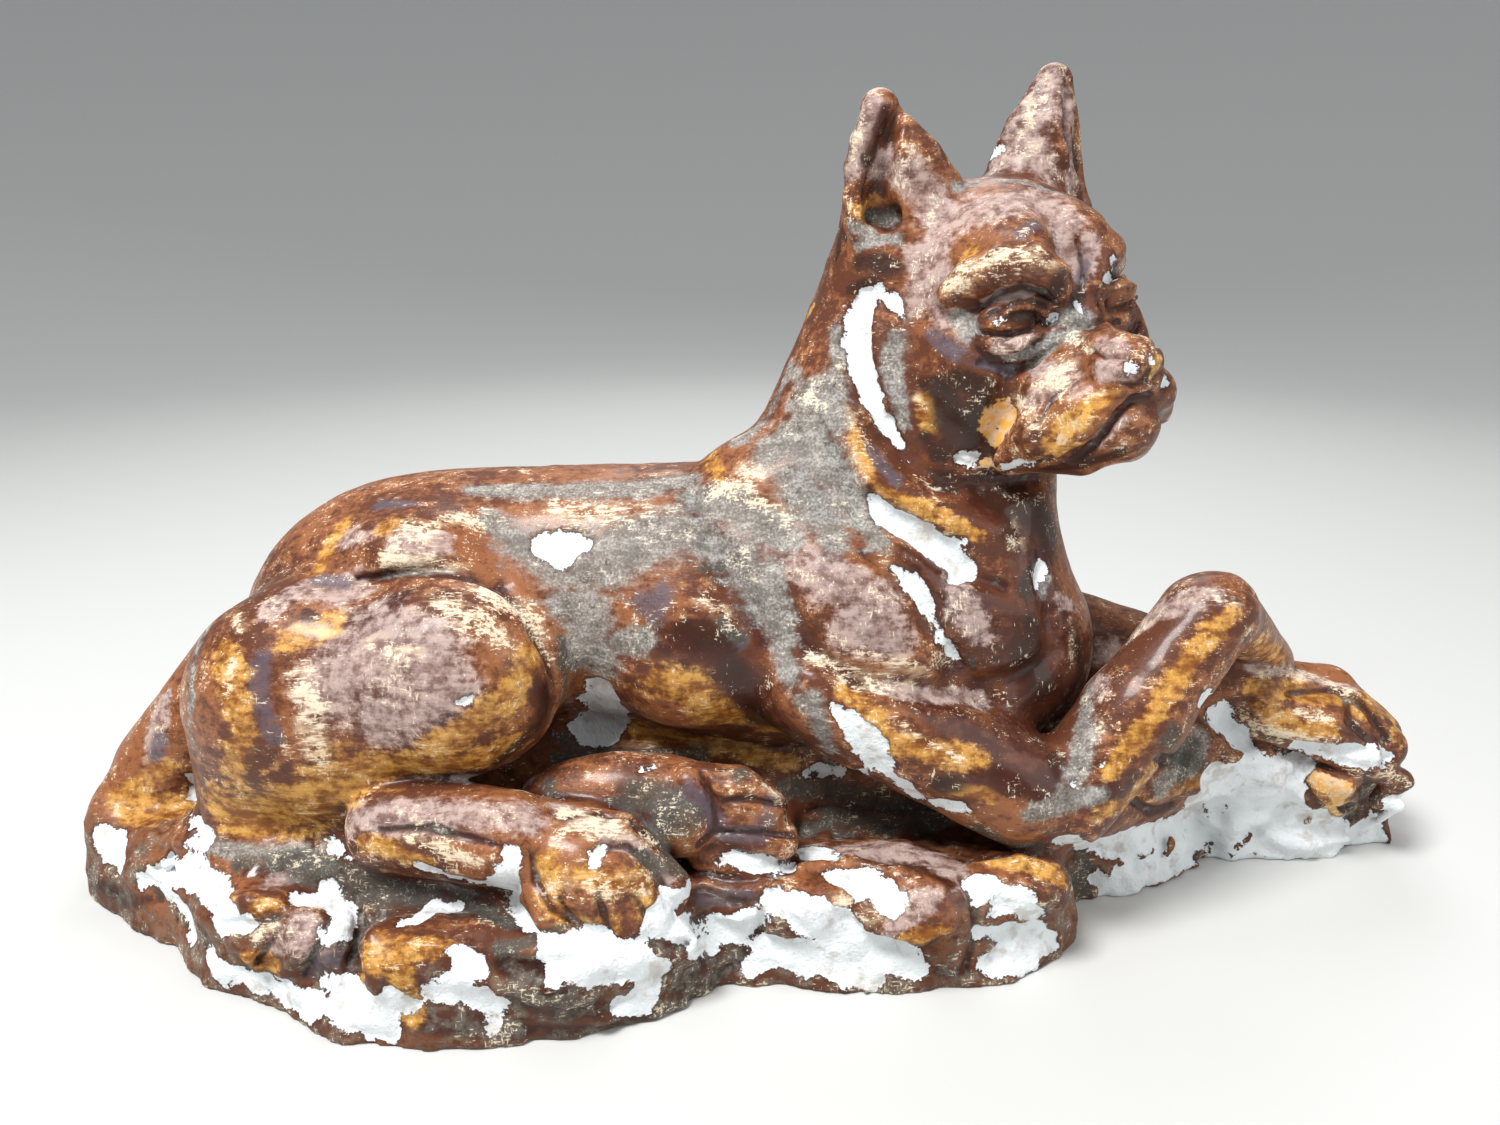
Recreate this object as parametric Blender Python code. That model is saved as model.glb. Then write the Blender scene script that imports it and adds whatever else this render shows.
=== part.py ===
"""A plaster dog lying on rough ground, cast as one piece.

The dog is modelled the way a sculptor builds it up in clay: each bone and muscle is an egg or a
tapered limb that melts into what is already there, and each crease is a thin limb cut back out.
The clay is a field of distances on a grid of points. Its zero surface becomes the mesh.

Places and radii are written in shares of the statue's length, SHARE each, counted from the top of
the ground under the dog: x towards the dog's chest, y towards its left side, z up. The origin of
the finished statue is the middle of its box on the floor, MIDDLE in shares.
"""

import itertools
import math

import bpy
import numpy as np
from mathutils import Euler

STATUE_LENGTH = 0.400
GROUND_THICKNESS = 0.026
LENGTH_IN_SHARES = 400
CLAY_STEP = 1.3
TRIANGLES = 9600

SHARE = STATUE_LENGTH / LENGTH_IN_SHARES
GROUND = GROUND_THICKNESS / SHARE
FLOOR = -GROUND
CLAY_LOW = (-216, -84, FLOOR - 6)
CLAY_HIGH = (200, 84, 212)
FAR_AWAY = 50.0
MIDDLE = (-7.13, -3.93)
HEART = (-66, 5, 50)

PLASTER_RED = (0.30, 0.10, 0.045, 1)
SIDES = (-1, 1)

HEAD_ORIGIN = (54.6, 8.7, 142.3)
HEAD_TURN = -65
HEAD_NOD = 4
HEAD_TILT = 9

BROW = ((26, 6, 6), (24, 10, 9), (20.5, 15, 10.5), (16.5, 20, 9.5), (13, 25, 6))
UNDER_BROW = ((29, 10, 6.5), (25.5, 17, 6.5), (21, 23, 4))
UPPER_LID = ((23, 24.5, -2), (25.5, 21, 2), (27.5, 17.5, 4.2), (28.5, 13.5, 4), (28, 9, 1.5))
LOWER_LID = ((25, 22.5, -2.6), (27.5, 17, -4.6), (28.2, 11, -3.4), (28.5, 8, -0.5))
BAG = ((21.5, 23.5, -6), (24.5, 20, -8), (26.7, 15, -8), (28, 9.5, -6))
UNDER_BAG = ((24, 25, -9), (27, 19.5, -11.5), (30, 13, -10.5), (32, 8.5, -7))


def turned(degrees):
    return np.array(Euler([math.radians(angle) for angle in degrees]).to_matrix())


def egg(centre, radii, turn=(0, 0, 0)):
    """An ellipsoid. A shape is its distance function and its lowest and highest corner."""
    centre, radii, spin = np.array(centre, float), np.array(radii, float), turned(turn)

    def distance(*point):
        away = [p - c for p, c in zip(point, centre)]
        own = [sum(a * spin[i, k] for i, a in enumerate(away)) for k in range(3)]
        level = np.sqrt(sum((o / r) ** 2 for o, r in zip(own, radii)))
        slope = np.sqrt(sum((o / r**2) ** 2 for o, r in zip(own, radii)))
        return level * (level - 1) / np.maximum(slope, 1e-6)

    reach = np.sqrt(((spin * radii) ** 2).sum(axis=1))
    return distance, centre - reach, centre + reach


def limb(start, end, start_radius, end_radius):
    """A round bar between two points, thinner or thicker towards its end."""
    start, end = np.array(start, float), np.array(end, float)
    along = end - start

    def distance(*point):
        away = [p - s for p, s in zip(point, start)]
        share = np.clip(sum(a * d for a, d in zip(away, along)) / (along @ along), 0, 1)
        gap = np.sqrt(sum((a - share * d) ** 2 for a, d in zip(away, along)))
        return gap - start_radius - share * (end_radius - start_radius)

    reach = max(start_radius, end_radius)
    return distance, np.minimum(start, end) - reach, np.maximum(start, end) + reach


def placed(shape, origin, spin):
    """The shape, modelled in a frame of its own, as it lies in the statue."""
    distance, low, high = shape
    corners = np.array(list(itertools.product(*zip(low, high)))) @ spin.T + origin

    def moved(*point):
        away = [p - o for p, o in zip(point, origin)]
        return distance(*[sum(a * spin[i, k] for i, a in enumerate(away)) for k in range(3)])

    return moved, corners.min(axis=0), corners.max(axis=0)


class Clay:
    """The clay as distances to its surface on a grid of points, negative inside."""

    def __init__(self, low, high, step):
        self.step = step
        self.axes = [np.arange(a, b + step, step, dtype=np.float32) for a, b in zip(low, high)]
        self.field = np.full([len(a) for a in self.axes], FAR_AWAY, np.float32)

    def window(self, low, high, margin):
        """The part of the grid near a shape, and its points as three arrays that broadcast."""
        cut = tuple(
            slice(np.searchsorted(axis, a - margin), np.searchsorted(axis, b + margin))
            for axis, a, b in zip(self.axes, low, high)
        )
        return cut, np.ix_(*[axis[part] for axis, part in zip(self.axes, cut)])

    def add(self, shape, blend):
        """Presses a shape on, with a fillet as wide as blend where it meets the rest."""
        distance, low, high = shape
        cut, points = self.window(low, high, blend + 3 * self.step)
        old, new = self.field[cut], distance(*points)
        near = np.maximum(blend - np.abs(old - new), 0) / blend
        self.field[cut] = np.minimum(old, new) - near * near * blend / 4

    def cut(self, shape, blend):
        """Scoops a shape out, with its rim rounded over as wide as blend."""
        distance, low, high = shape
        cut, points = self.window(low, high, blend + 3 * self.step)
        old, new = self.field[cut], -distance(*points)
        near = np.maximum(blend - np.abs(old - new), 0) / blend
        self.field[cut] = np.maximum(old, new) + near * near * blend / 4


def surface(clay):
    """The zero surface of the clay as points and four-sided faces, one point in each grid cell
    that the surface crosses, at the middle of its crossings."""
    field = clay.field
    inside = field < 0
    corners = list(itertools.product((0, 1), repeat=3))
    full = sum(
        inside[tuple(slice(c, n - 1 + c) for c, n in zip(corner, field.shape))].astype(np.int8)
        for corner in corners
    )
    cells = np.argwhere((full > 0) & (full < len(corners)))
    number = np.full(full.shape, -1, np.int64)
    number[tuple(cells.T)] = np.arange(len(cells))
    total, count = np.zeros((len(cells), 3)), np.zeros((len(cells), 1))
    faces = []
    for axis in range(3):
        unit = np.eye(3, dtype=int)[axis]
        for corner in corners:
            if corner[axis]:
                continue
            low = cells + corner
            before, after = field[tuple(low.T)], field[tuple((low + unit).T)]
            crossed = (before < 0) != (after < 0)
            share = before[crossed] / (before[crossed] - after[crossed])
            total[crossed] += corner + share[:, None] * unit
            count[crossed] += 1
        head = [slice(None)] * 3
        tail = [slice(None)] * 3
        head[axis], tail[axis] = slice(0, -1), slice(1, None)
        edges = np.argwhere(inside[tuple(head)] != inside[tuple(tail)])
        first, second = [np.eye(3, dtype=int)[(axis + n) % 3] for n in (1, 2)]
        ring = [number[tuple((edges - way).T)] for way in (first + second, second, 0 * first, first)]
        ring = np.stack(ring, axis=1)
        outward = inside[tuple(edges.T)]
        faces += [ring[outward], ring[~outward][:, ::-1]]
    points = [axis[0] for axis in clay.axes] + clay.step * (cells + total / count)
    return points, np.concatenate(faces)


def reached(free, start):
    """The grid points that a walk from start reaches through free ones, a row at a time."""
    seen = np.zeros(free.shape, bool)
    seen[start] = True
    count = 0
    while seen.sum() > count:
        count = seen.sum()
        for axis in range(3):
            rows, way = np.moveaxis(seen, axis, 0), np.moveaxis(free, axis, 0)
            for n in range(1, len(rows)):
                rows[n] |= rows[n - 1] & way[n]
            for n in range(len(rows) - 2, -1, -1):
                rows[n] |= rows[n + 1] & way[n]
    return seen


def close_pinches(clay):
    """Fills every grid cell and cell face where the lump would touch itself only across a diagonal."""
    ways = [way for way in itertools.product((0, 1), repeat=3) if sum(way) > 1]
    for way in ways * 3:
        corners = list(itertools.product(*[(0, 1) if w else (0,) for w in way]))
        views = [
            clay.field[tuple(slice(c, n - w + c) for c, n, w in zip(corner, clay.field.shape, way))]
            for corner in corners
        ]
        full = sum((view < 0).astype(np.int8) for view in views)
        for first, last in zip(views, views[::-1]):
            pair = (first < 0) & (last < 0) & (full == 2)
            gap = (first >= 0) & (last >= 0) & (full == len(corners) - 2)
            for view in views:
                view[(pair | gap) & (view >= 0)] = -clay.step / 4


def make_whole(clay):
    """Fills sealed hollows and drops loose crumbs, so that the clay is one lump."""
    air = clay.field >= 0
    clay.field[air & ~reached(air, (0, 0, 0))] = -clay.step / 2
    close_pinches(clay)
    lump = clay.field < 0
    heart = tuple(np.searchsorted(axis, c) for axis, c in zip(clay.axes, HEART))
    clay.field[lump & ~reached(lump, heart)] = clay.step / 2


def slab(outline, top, rounding, flare):
    """Ground with a closed outline and a flat top. Its sides lean out by flare for each unit down."""
    outline = np.array(outline, float)
    ends = np.roll(outline, -1, axis=0)

    def distance(x, y, z):
        gap = np.full((x + y).shape, 1e9)
        inside = np.zeros(gap.shape, bool)
        for (ax, ay), (bx, by) in zip(outline, ends):
            ex, ey = bx - ax, by - ay
            share = np.clip(((x - ax) * ex + (y - ay) * ey) / (ex * ex + ey * ey), 0, 1)
            gap = np.minimum(gap, np.hypot(x - ax - share * ex, y - ay - share * ey))
            if ay != by:
                inside ^= ((y > ay) != (y > by)) & (x < ax + (y - ay) / ey * ex)
        side = np.where(inside, -gap, gap) + flare * (z - top) + rounding
        above = z - top + rounding
        outside = np.hypot(np.maximum(side, 0), np.maximum(above, 0))
        return outside + np.minimum(np.maximum(side, above), 0) - rounding

    low, high = outline.min(axis=0) - 12, outline.max(axis=0) + 12
    return distance, np.array([*low, FLOOR - 12]), np.array([*high, top])


def bumps(axes, cell, seed):
    """Smooth random heights between -1 and 1 on the grid, about one bump to a cell."""
    size = [int(np.ptp(axis) / cell) + 2 for axis in axes]
    height = np.random.default_rng(seed).uniform(-1, 1, size)
    for number, axis in enumerate(axes):
        place = (axis - axis[0]) / cell
        index = place.astype(int)
        share = place - index
        share = share * share * (3 - 2 * share)
        share = share.reshape([-1 if n == number else 1 for n in range(3)])
        near, far = np.take(height, index, number), np.take(height, index + 1, number)
        height = near + share * (far - near)
    return height


def chain(work, points, radii, blend):
    """Limbs end to end through the points."""
    for start, end, thick, thin in zip(points, points[1:], radii, radii[1:]):
        work(limb(start, end, thick, thin), blend)


def trunk(clay):
    """Rump, loin, ribs, breast and neck."""
    for centre, radii, blend in (
        ((-112, 6, 46), (45, 38, 44), 4),
        ((-66, 5, 61), (62, 32, 35), 20),
        ((-8, 3, 57), (58, 38, 40), 20),
        ((44, 1, 46), (40, 33, 36), 18),
    ):
        clay.add(egg(centre, radii), blend)
    clay.add(limb((-100, 8, 8), (40, 6, 8), 26, 24), 10)
    clay.add(limb((28, 6, 66), (38, 18, 124), 36, 26), 16)
    clay.add(limb((8, 4, 88), (24, 14, 136), 25, 20), 14)
    clay.add(limb((46, 0, 62), (52, 6, 112), 25, 19), 12)
    clay.add(egg((-8, -2, 94), (17, 15, 12)), 8)
    clay.add(egg((-100, -18, 78), (14, 10, 10)), 10)
    clay.add(egg((18, 32, 56), (28, 14, 24), (0, 42, 0)), 9)


def folds(clay):
    """Rolls and creases of the skin, and the grooves between the big muscles, on the right side."""
    roll = (
        (12, -13, 108), (17, -18, 97), (26, -20, 93), (36, -21, 88.5), (47, -20.5, 84), (56, -17, 78),
    )
    chain(clay.add, roll, (4, 5, 5, 5, 5, 3), 4)
    clay.add(egg((-30, -26, 52), (17, 10, 18)), 8)
    behind_the_ear = (
        (17, -4, 145), (13, -8, 132), (16, -13, 120), (22, -17, 111), (28, -20, 105), (37, -21, 100),
        (48, -20, 97), (62, -13, 97),
    )
    neck = ((16.7, -24, 95), (24.7, -27, 88.4), (35, -29, 82), (42, -29.5, 77), (52, -27, 72))
    withers = ((5, -13.5, 112), (10, -21, 100.5), (14.6, -27, 89.4))
    breast = (
        (16, -32, 83.6), (25, -35.5, 76.4), (32.5, -37.5, 66.6), (40, -36.5, 53), (47, -33.5, 46.5),
        (57, -31, 47.6), (68, -25, 54),
    )
    shoulder = ((-5.5, -34, 72.7), (1.4, -39.5, 60), (14, -43.5, 53), (31.5, -41, 48.7), (49.5, -33, 43))
    shoulder_blade = (
        (-29, -15, 92), (-22.7, -25, 83.7), (-19.5, -30, 76.7), (-13.5, -33.5, 69.3), (-10.5, -35, 60.4),
    )
    throat = ((62.5, -20.5, 77), (66, -25, 62), (65, -28, 48))
    flank = ((-113, -26.5, 73.4), (-91, -30.5, 78), (-76, -31, 74), (-65, -37.5, 63), (-61, -39, 50))
    for points, radii, blend in (
        (behind_the_ear, (1, 2, 2.5, 2.5, 2.5, 2.5, 2.5, 2), 5),
        (neck, (1.5, 2, 2, 2, 1), 4),
        (withers, (1, 1.5, 1), 3),
        (breast, (1.5, 2, 2.2, 2.5, 2, 1.5, 1), 5),
        (shoulder, (1, 1.5, 1.5, 1.5, 1), 5),
        (shoulder_blade, (1, 1.6, 2, 1.8, 1), 5),
        (throat, (1, 1.5, 0.5), 4),
        (flank, (0.2, 0.8, 1.5, 2, 1.5), 4),
    ):
        chain(clay.cut, points, radii, blend)


def fore_legs(clay):
    """The right fore leg with its paw on the rock, and the left one bent in front of the breast."""
    clay.add(egg((18, -25, 60), (30, 15, 22), (0, 42, 0)), 7)
    clay.add(limb((6, -30, 46), (56, -36, 20), 16, 15), 6)
    chain(clay.add, ((70, -35, 16), (88.5, -29, 38.5), (106.5, -21, 60.5)), (13, 12.8, 12), 4)
    clay.add(limb((112, -17, 62), (144, 13, 37), 10, 5), 6)
    clay.add(limb((78, -12, 8), (112, 2, 14), 18, 14), 8)
    chain(clay.add, ((72, 26, 40), (118, 14, 32), (138, 8, 26)), (17, 13, 11), 7)
    for points in (
        ((138, 15, 28), (162, 15, 24), (178, 12, 12)),
        ((140, 8, 27), (164, 7, 21), (176, 5, 11)),
        ((136, 2, 23), (155, 0, 19), (166, -1, 11)),
    ):
        chain(clay.add, points, (8, 8.5, 7), 1.5)


def hind_legs(clay):
    """Both haunches, the tail, the right hind paw and the left one under the belly."""
    clay.add(egg((-104, 32, 24), (44, 20, 26)), 8)
    clay.add(egg((-152, 24, 16), (34, 22, 24)), 10)
    clay.add(limb((-162, 10, 38), (-187, 5, 4), 14, 16), 6)
    clay.add(egg((-124, -28, 40), (37, 24, 33)), 9)
    clay.add(egg((-146, -24, 18), (16, 17, 20)), 8)
    clay.add(egg((-88, -34, 50), (27, 21, 26)), 10)
    clay.add(limb((-103, -47, 15), (-72, -55, 16), 12, 12), 3)
    clay.add(egg((-53, -56, 11), (20, 14, 12), (0, 15, -20)), 5)
    for points in (
        ((-64, -53, 17), (-45, -56, 16), (-33, -59, 5)),
        ((-61, -57, 14), (-45, -62, 12), (-37, -65, 0)),
        ((-63, -60, 11), (-50, -66, 8), (-46, -67, -2)),
        ((-67, -59, 9), (-59, -66, 4), (-57, -67, -3)),
    ):
        chain(clay.add, points, (6, 6.5, 5.5), 1.5)
    clay.add(egg((-44, -38, 16), (30, 11, 14)), 3)
    for points in (
        ((-28, -42, 24), (-16, -43, 22), (-9, -44, 18)),
        ((-24, -44, 15), (-12, -45, 13), (-6, -46, 10)),
        ((-24, -44, 6), (-12, -45, 4), (-7, -45, 1)),
    ):
        chain(clay.add, points, (6, 6.5, 5.5), 1.5)
    clay.add(egg((-31, -46, 15), (9.5, 8, 9)), 1.5)


def head(clay):
    """The head, turned away from the body's line towards the dog's right."""
    origin = np.array(HEAD_ORIGIN)
    spin = turned((0, 0, HEAD_TURN)) @ turned((0, HEAD_NOD, 0)) @ turned((HEAD_TILT, 0, 0))

    def press(shape, blend):
        clay.add(placed(shape, origin, spin), blend)

    def carve(shape, blend):
        clay.cut(placed(shape, origin, spin), blend)

    press(egg((-3, 0, 2), (32, 29, 28)), 6)
    press(egg((8, 0, -14), (24, 24, 24)), 8)
    for side in SIDES:
        press(egg((7, 21 * side, -17), (21, 14, 20)), 5)
        press(egg((15, 8.5 * side, 14), (12, 9.5, 9)), 6)
    muzzle(press, carve)
    for side in SIDES:
        eye(press, carve, side)
        ear(press, carve, side)
    mouth(carve)
    furrow = ((36, 0, 0), (29, 0, 10), (18, 0, 26))
    chain(carve, furrow, (2, 2, 2), 5)


def mirrored(points, side):
    """The points on the dog's left, or the same on its right."""
    return [(x, y * side, z) for x, y, z in points]


def muzzle(press, carve):
    """The bridge, the chin, the flews that hang over the jaw, and the nose."""
    press(egg((31, 0, -18), (18, 18, 12)), 6)
    chain(press, ((24, 0, -3), (36, 0, -12), (44, 0, -14)), (9, 7, 7), 5)
    press(egg((44.5, 0, -26), (9.5, 11, 9)), 3)
    flew = ((47.5, 4.5, -15), (43, 10, -20), (36, 15, -26), (28, 19, -32))
    for side in SIDES:
        press(limb((40, 7 * side, -31), (20, 17 * side, -33), 7, 6), 3)
        chain(press, mirrored(flew, side), (4.5, 6.5, 7.5, 6), 3)
    press(egg((46.5, 0, -11), (8, 9.5, 7.5)), 1.5)
    press(egg((41, 0, -7), (7, 6.5, 4)), 1)
    for side in SIDES:
        carve(egg((55, 4.5 * side, -11.5), (2.5, 2.2, 2)), 1)


def mouth(carve):
    """The line of the lips, the crease behind their corner and the split under the nose."""
    lips = ((55, 0, -17), (54, 4, -17.5), (53.5, 8.5, -20), (49, 12, -26), (43, 16.5, -31), (36, 20, -34))
    cheek = ((29, 20, -14), (29, 23, -23), (25, 24, -33))
    for side in SIDES:
        chain(carve, mirrored(lips, side), (1.4, 1.5, 1.8, 1.8, 1.6, 0.8), 1.5)
        chain(carve, mirrored(cheek, side), (1.5, 2, 1.5), 4)
    chain(carve, ((55.5, 0, -14), (55, 0, -18)), (0.8, 0.8), 1)


def eye(press, carve, side):
    """The socket, the brow over it, the ball, two lids and the bag under them."""
    carve(egg((30, 15.5 * side, 0), (5, 8.5, 4.5)), 5)
    chain(press, mirrored(BROW, side), (5.5, 5.5, 5.5, 5, 4), 2)
    chain(carve, mirrored(UNDER_BROW, side), (0.8, 1, 0.8), 2)
    press(egg((22.3, 15.5 * side, 0), (6, 8, 5.2)), 0.5)
    chain(press, mirrored(UPPER_LID, side), (1.1, 1.3, 1.4, 1.4, 1.2), 0.8)
    chain(press, mirrored(LOWER_LID, side), (1.1, 1.3, 1.3, 1.2), 0.8)
    chain(press, mirrored(BAG, side), (1.8, 2.3, 2.3, 1.8), 3)
    chain(carve, mirrored(UNDER_BAG, side), (0.7, 1, 1, 0.7), 2)


def ear(press, carve, side):
    """An ear cropped to a point, scooped out on its outer side."""
    tip = (-12.5, 27 * side, 50)
    press(limb((-16, 24 * side, 13), tip, 16, 5), 7)
    press(limb((-12, 13 * side, 18), (-12, 22.5 * side, 38), 12, 8.5), 5)
    hollow = ((-4.5, 29, 47), (-2.5, 32, 35), (-4, 34, 25.5))
    chain(carve, mirrored(hollow, side), (2, 5, 6.5), 1.5)


def ground(clay):
    """The rough slab under the dog and the rock under its fore paws."""
    slab_outline = (
        (-203, -14), (-184, -30), (-166, -40), (-147, -57), (-128, -65), (-110, -75), (-89, -78), (-60, -75),
        (-38, -66), (-18, -54), (-10, -54), (25, -58), (50, -55), (64, -48), (73, -36), (76, -18),
        (96, 0), (112, 40), (96, 56), (60, 60), (40, 66), (-10, 62), (-40, 70), (-84, 66), (-110, 70),
        (-150, 62), (-176, 54), (-190, 32), (-202, 14),
    )
    clay.add(slab(slab_outline, -1, 9, 0.1), 1)
    rock_outline = (
        (76, -18), (98, -15), (112, -6), (124, 3), (150, 4), (166, 4), (174, 10), (186, 14), (190, 28),
        (176, 42), (150, 46), (132, 54), (100, 50), (80, 20),
    )
    clay.add(slab(rock_outline, 5, 7, 0.1), 6)
    for centre, radii in (
        ((-198, -5, -7), (8, 9, 12)),
        ((-190, 20, -4), (14, 18, 9)),
        ((-100, 50, -2), (60, 14, 8)),
        ((20, 48, -2), (50, 14, 9)),
        ((10, -44, -3), (52, 14, 6)),
        ((118, 12, 8), (36, 18, 15)),
        ((112, 0, 4), (16, 10, 9)),
        ((142, 6, 3), (22, 12, 9)),
        ((157, 0, 1), (8, 6, 7)),
        ((-124, -26, 2), (46, 25, 10)),
        ((-44, -22, 2), (44, 20, 12)),
    ):
        clay.add(egg(centre, radii), 6)
    for points, radii in (
        (((-160, -40, -5), (-132, -58, -6), (-112, -66, -7)), (6, 8, 7)),
        (((-98, -70, -6), (-60, -70, -8), (-30, -60, -6)), (8, 9, 7)),
        (((-10, -51, -5), (28, -54, -4), (62, -46, -3)), (6, 7, 8)),
        (((-112, -42, 2), (-64, -52, 2)), (9, 8)),
    ):
        chain(clay.add, points, radii, 5)
    for points, radii in (
        (((-176, -40, -13), (-140, -66, -14), (-118, -74, -13), (-104, -79, -15)), (2, 3, 3, 1)),
        (((-104, -60, -2), (-108, -74, -8), (-106, -82, -16)), (1, 2.5, 2)),
        (((-28, -62, 2), (-22, -60, -6), (-18, -60, -20)), (2, 3, 3)),
        (((74, -34, 0), (80, -24, -8), (84, -22, -20)), (3, 4, 4)),
        (((110, -10, -8), (122, -2, -10), (128, 2, -22)), (2, 3, 2)),
    ):
        chain(clay.cut, points, radii, 5)
    clay.field += 1.6 * bumps(clay.axes, 15, 4) + 0.9 * bumps(clay.axes, 7, 5)
    chain(clay.add, ((163, -1, 4), (173, 0, 6), (181, 2, 1), (176, 1, -5)), (3.5, 3.5, 4, 3), 1.5)


def flatten(clay):
    """Cuts the underside off flat on the floor."""
    z = clay.axes[2][None, None, :]
    clay.field = np.maximum(clay.field, FLOOR - z)


def make_statue():
    clay = Clay(CLAY_LOW, CLAY_HIGH, CLAY_STEP)
    for build in (ground, trunk, hind_legs, fore_legs, folds, head, flatten, make_whole):
        build(clay)
    points, faces = surface(clay)
    points -= (*MIDDLE, FLOOR)
    mesh = bpy.data.meshes.new("dog_statue")
    mesh.from_pydata((points * SHARE).tolist(), [], faces.tolist())
    mesh.shade_smooth()
    statue = bpy.data.objects.new("dog_statue", mesh)
    bpy.context.collection.objects.link(statue)
    thin = statue.modifiers.new("thin_out", "DECIMATE")
    thin.ratio = TRIANGLES / (2 * len(faces))
    return statue


def plaster():
    material = bpy.data.materials.new("painted_plaster")
    material.use_nodes = True
    shader = material.node_tree.nodes["Principled BSDF"]
    shader.inputs["Base Color"].default_value = PLASTER_RED
    shader.inputs["Roughness"].default_value = 0.45
    return material


def main():
    for old in list(bpy.data.objects):
        bpy.data.objects.remove(old)
    make_statue().data.materials.append(plaster())


main()
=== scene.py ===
# %% [markdown]
# This script dresses a plaster statue of a lying dog. The statue is one casting: dog, rock and ground
# slab came out of the same mould. It was painted in mahogany and gold, and then it was knocked about
# until white plaster showed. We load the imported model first, because its box and its place are fixed,
# and everything that we make must stay inside them.

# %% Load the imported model
import itertools
import math

import bpy
import numpy as np
from mathutils import Euler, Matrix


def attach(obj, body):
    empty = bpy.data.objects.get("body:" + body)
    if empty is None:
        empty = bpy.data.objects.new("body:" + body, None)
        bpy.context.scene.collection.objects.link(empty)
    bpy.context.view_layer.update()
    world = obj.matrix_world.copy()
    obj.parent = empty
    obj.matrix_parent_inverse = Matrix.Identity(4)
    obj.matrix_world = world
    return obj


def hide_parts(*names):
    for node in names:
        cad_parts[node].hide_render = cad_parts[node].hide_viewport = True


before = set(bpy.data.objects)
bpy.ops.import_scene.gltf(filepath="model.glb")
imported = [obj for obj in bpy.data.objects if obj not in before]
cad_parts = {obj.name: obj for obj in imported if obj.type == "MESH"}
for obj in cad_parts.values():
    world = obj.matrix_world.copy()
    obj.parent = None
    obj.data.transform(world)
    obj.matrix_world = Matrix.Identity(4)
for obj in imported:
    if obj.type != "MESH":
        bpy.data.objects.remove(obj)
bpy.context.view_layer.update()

# %% [markdown]
# A sculptor measures by eye, in shares of the whole. We count in shares too: a statue 400 shares long,
# so that one share is a millimetre here. Heights count from the top of the ground slab, and the
# statue's box has its middle a little off the sculptor's own centre line.

# %% Measures
STATUE_LENGTH = 0.400
GROUND_THICKNESS = 0.026
LENGTH_IN_SHARES = 400
SHARE = STATUE_LENGTH / LENGTH_IN_SHARES
GROUND = GROUND_THICKNESS / SHARE
MIDDLE = np.array((-7.13, -3.93, -GROUND))


def in_metres(points):
    """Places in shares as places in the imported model's frame."""
    return (np.asarray(points) - MIDDLE) * SHARE


print("one share is", SHARE, "m")

# %% [markdown]
# The photograph was taken close up and a little from above. A camera that is set up first
# tells us how large each thing looks, and later it lets us point at a place on the statue by its
# pixel. Its field of view comes from the upright and level lines in the picture.

# %% The camera
PHOTO_WIDTH, PHOTO_HEIGHT = 1500, 1125
FOCAL_PIXELS = 1100
SENSOR = 36
LOOKS_DOWN = math.radians(17)
CAMERA_PLACE = np.array((-13, -294, 160))
NEAREST_SEEN = 0.01

lens = bpy.data.cameras.new("camera")
lens.sensor_width = SENSOR
lens.lens = SENSOR * FOCAL_PIXELS / PHOTO_WIDTH
lens.clip_start = NEAREST_SEEN
camera = bpy.data.objects.new("camera", lens)
camera.location = in_metres(CAMERA_PLACE)
camera.rotation_euler = (math.pi / 2 - LOOKS_DOWN, 0, 0)
bpy.context.collection.objects.link(camera)
bpy.context.scene.camera = camera
print("the camera's focal length is", round(lens.lens, 1), "mm")

# %% [markdown]
# The dog could be built from subdivided boxes or sculpted by hand. We do what a modeller in clay does
# instead: every bone and muscle is an egg or a tapered bar that melts into what is already there, and
# every crease is a thin bar cut back out. Each shape is a function that gives the distance to its
# surface, negative inside, so shapes can be joined with soft fillets by adding up numbers.

# %% Shapes as distances
def turned(degrees):
    return np.array(Euler([math.radians(angle) for angle in degrees]).to_matrix())


def egg(centre, radii, turn=(0, 0, 0)):
    """An ellipsoid. A shape is its distance function and its lowest and highest corner."""
    centre, radii, spin = np.array(centre, float), np.array(radii, float), turned(turn)

    def distance(*point):
        away = [p - c for p, c in zip(point, centre)]
        own = [sum(a * spin[i, k] for i, a in enumerate(away)) for k in range(3)]
        level = np.sqrt(sum((o / r) ** 2 for o, r in zip(own, radii)))
        slope = np.sqrt(sum((o / r**2) ** 2 for o, r in zip(own, radii)))
        return level * (level - 1) / np.maximum(slope, 1e-6)

    reach = np.sqrt(((spin * radii) ** 2).sum(axis=1))
    return distance, centre - reach, centre + reach


def limb(start, end, start_radius, end_radius):
    """A round bar between two points, thinner or thicker towards its end."""
    start, end = np.array(start, float), np.array(end, float)
    along = end - start

    def distance(*point):
        away = [p - s for p, s in zip(point, start)]
        share = np.clip(sum(a * d for a, d in zip(away, along)) / (along @ along), 0, 1)
        gap = np.sqrt(sum((a - share * d) ** 2 for a, d in zip(away, along)))
        return gap - start_radius - share * (end_radius - start_radius)

    reach = max(start_radius, end_radius)
    return distance, np.minimum(start, end) - reach, np.maximum(start, end) + reach


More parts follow.
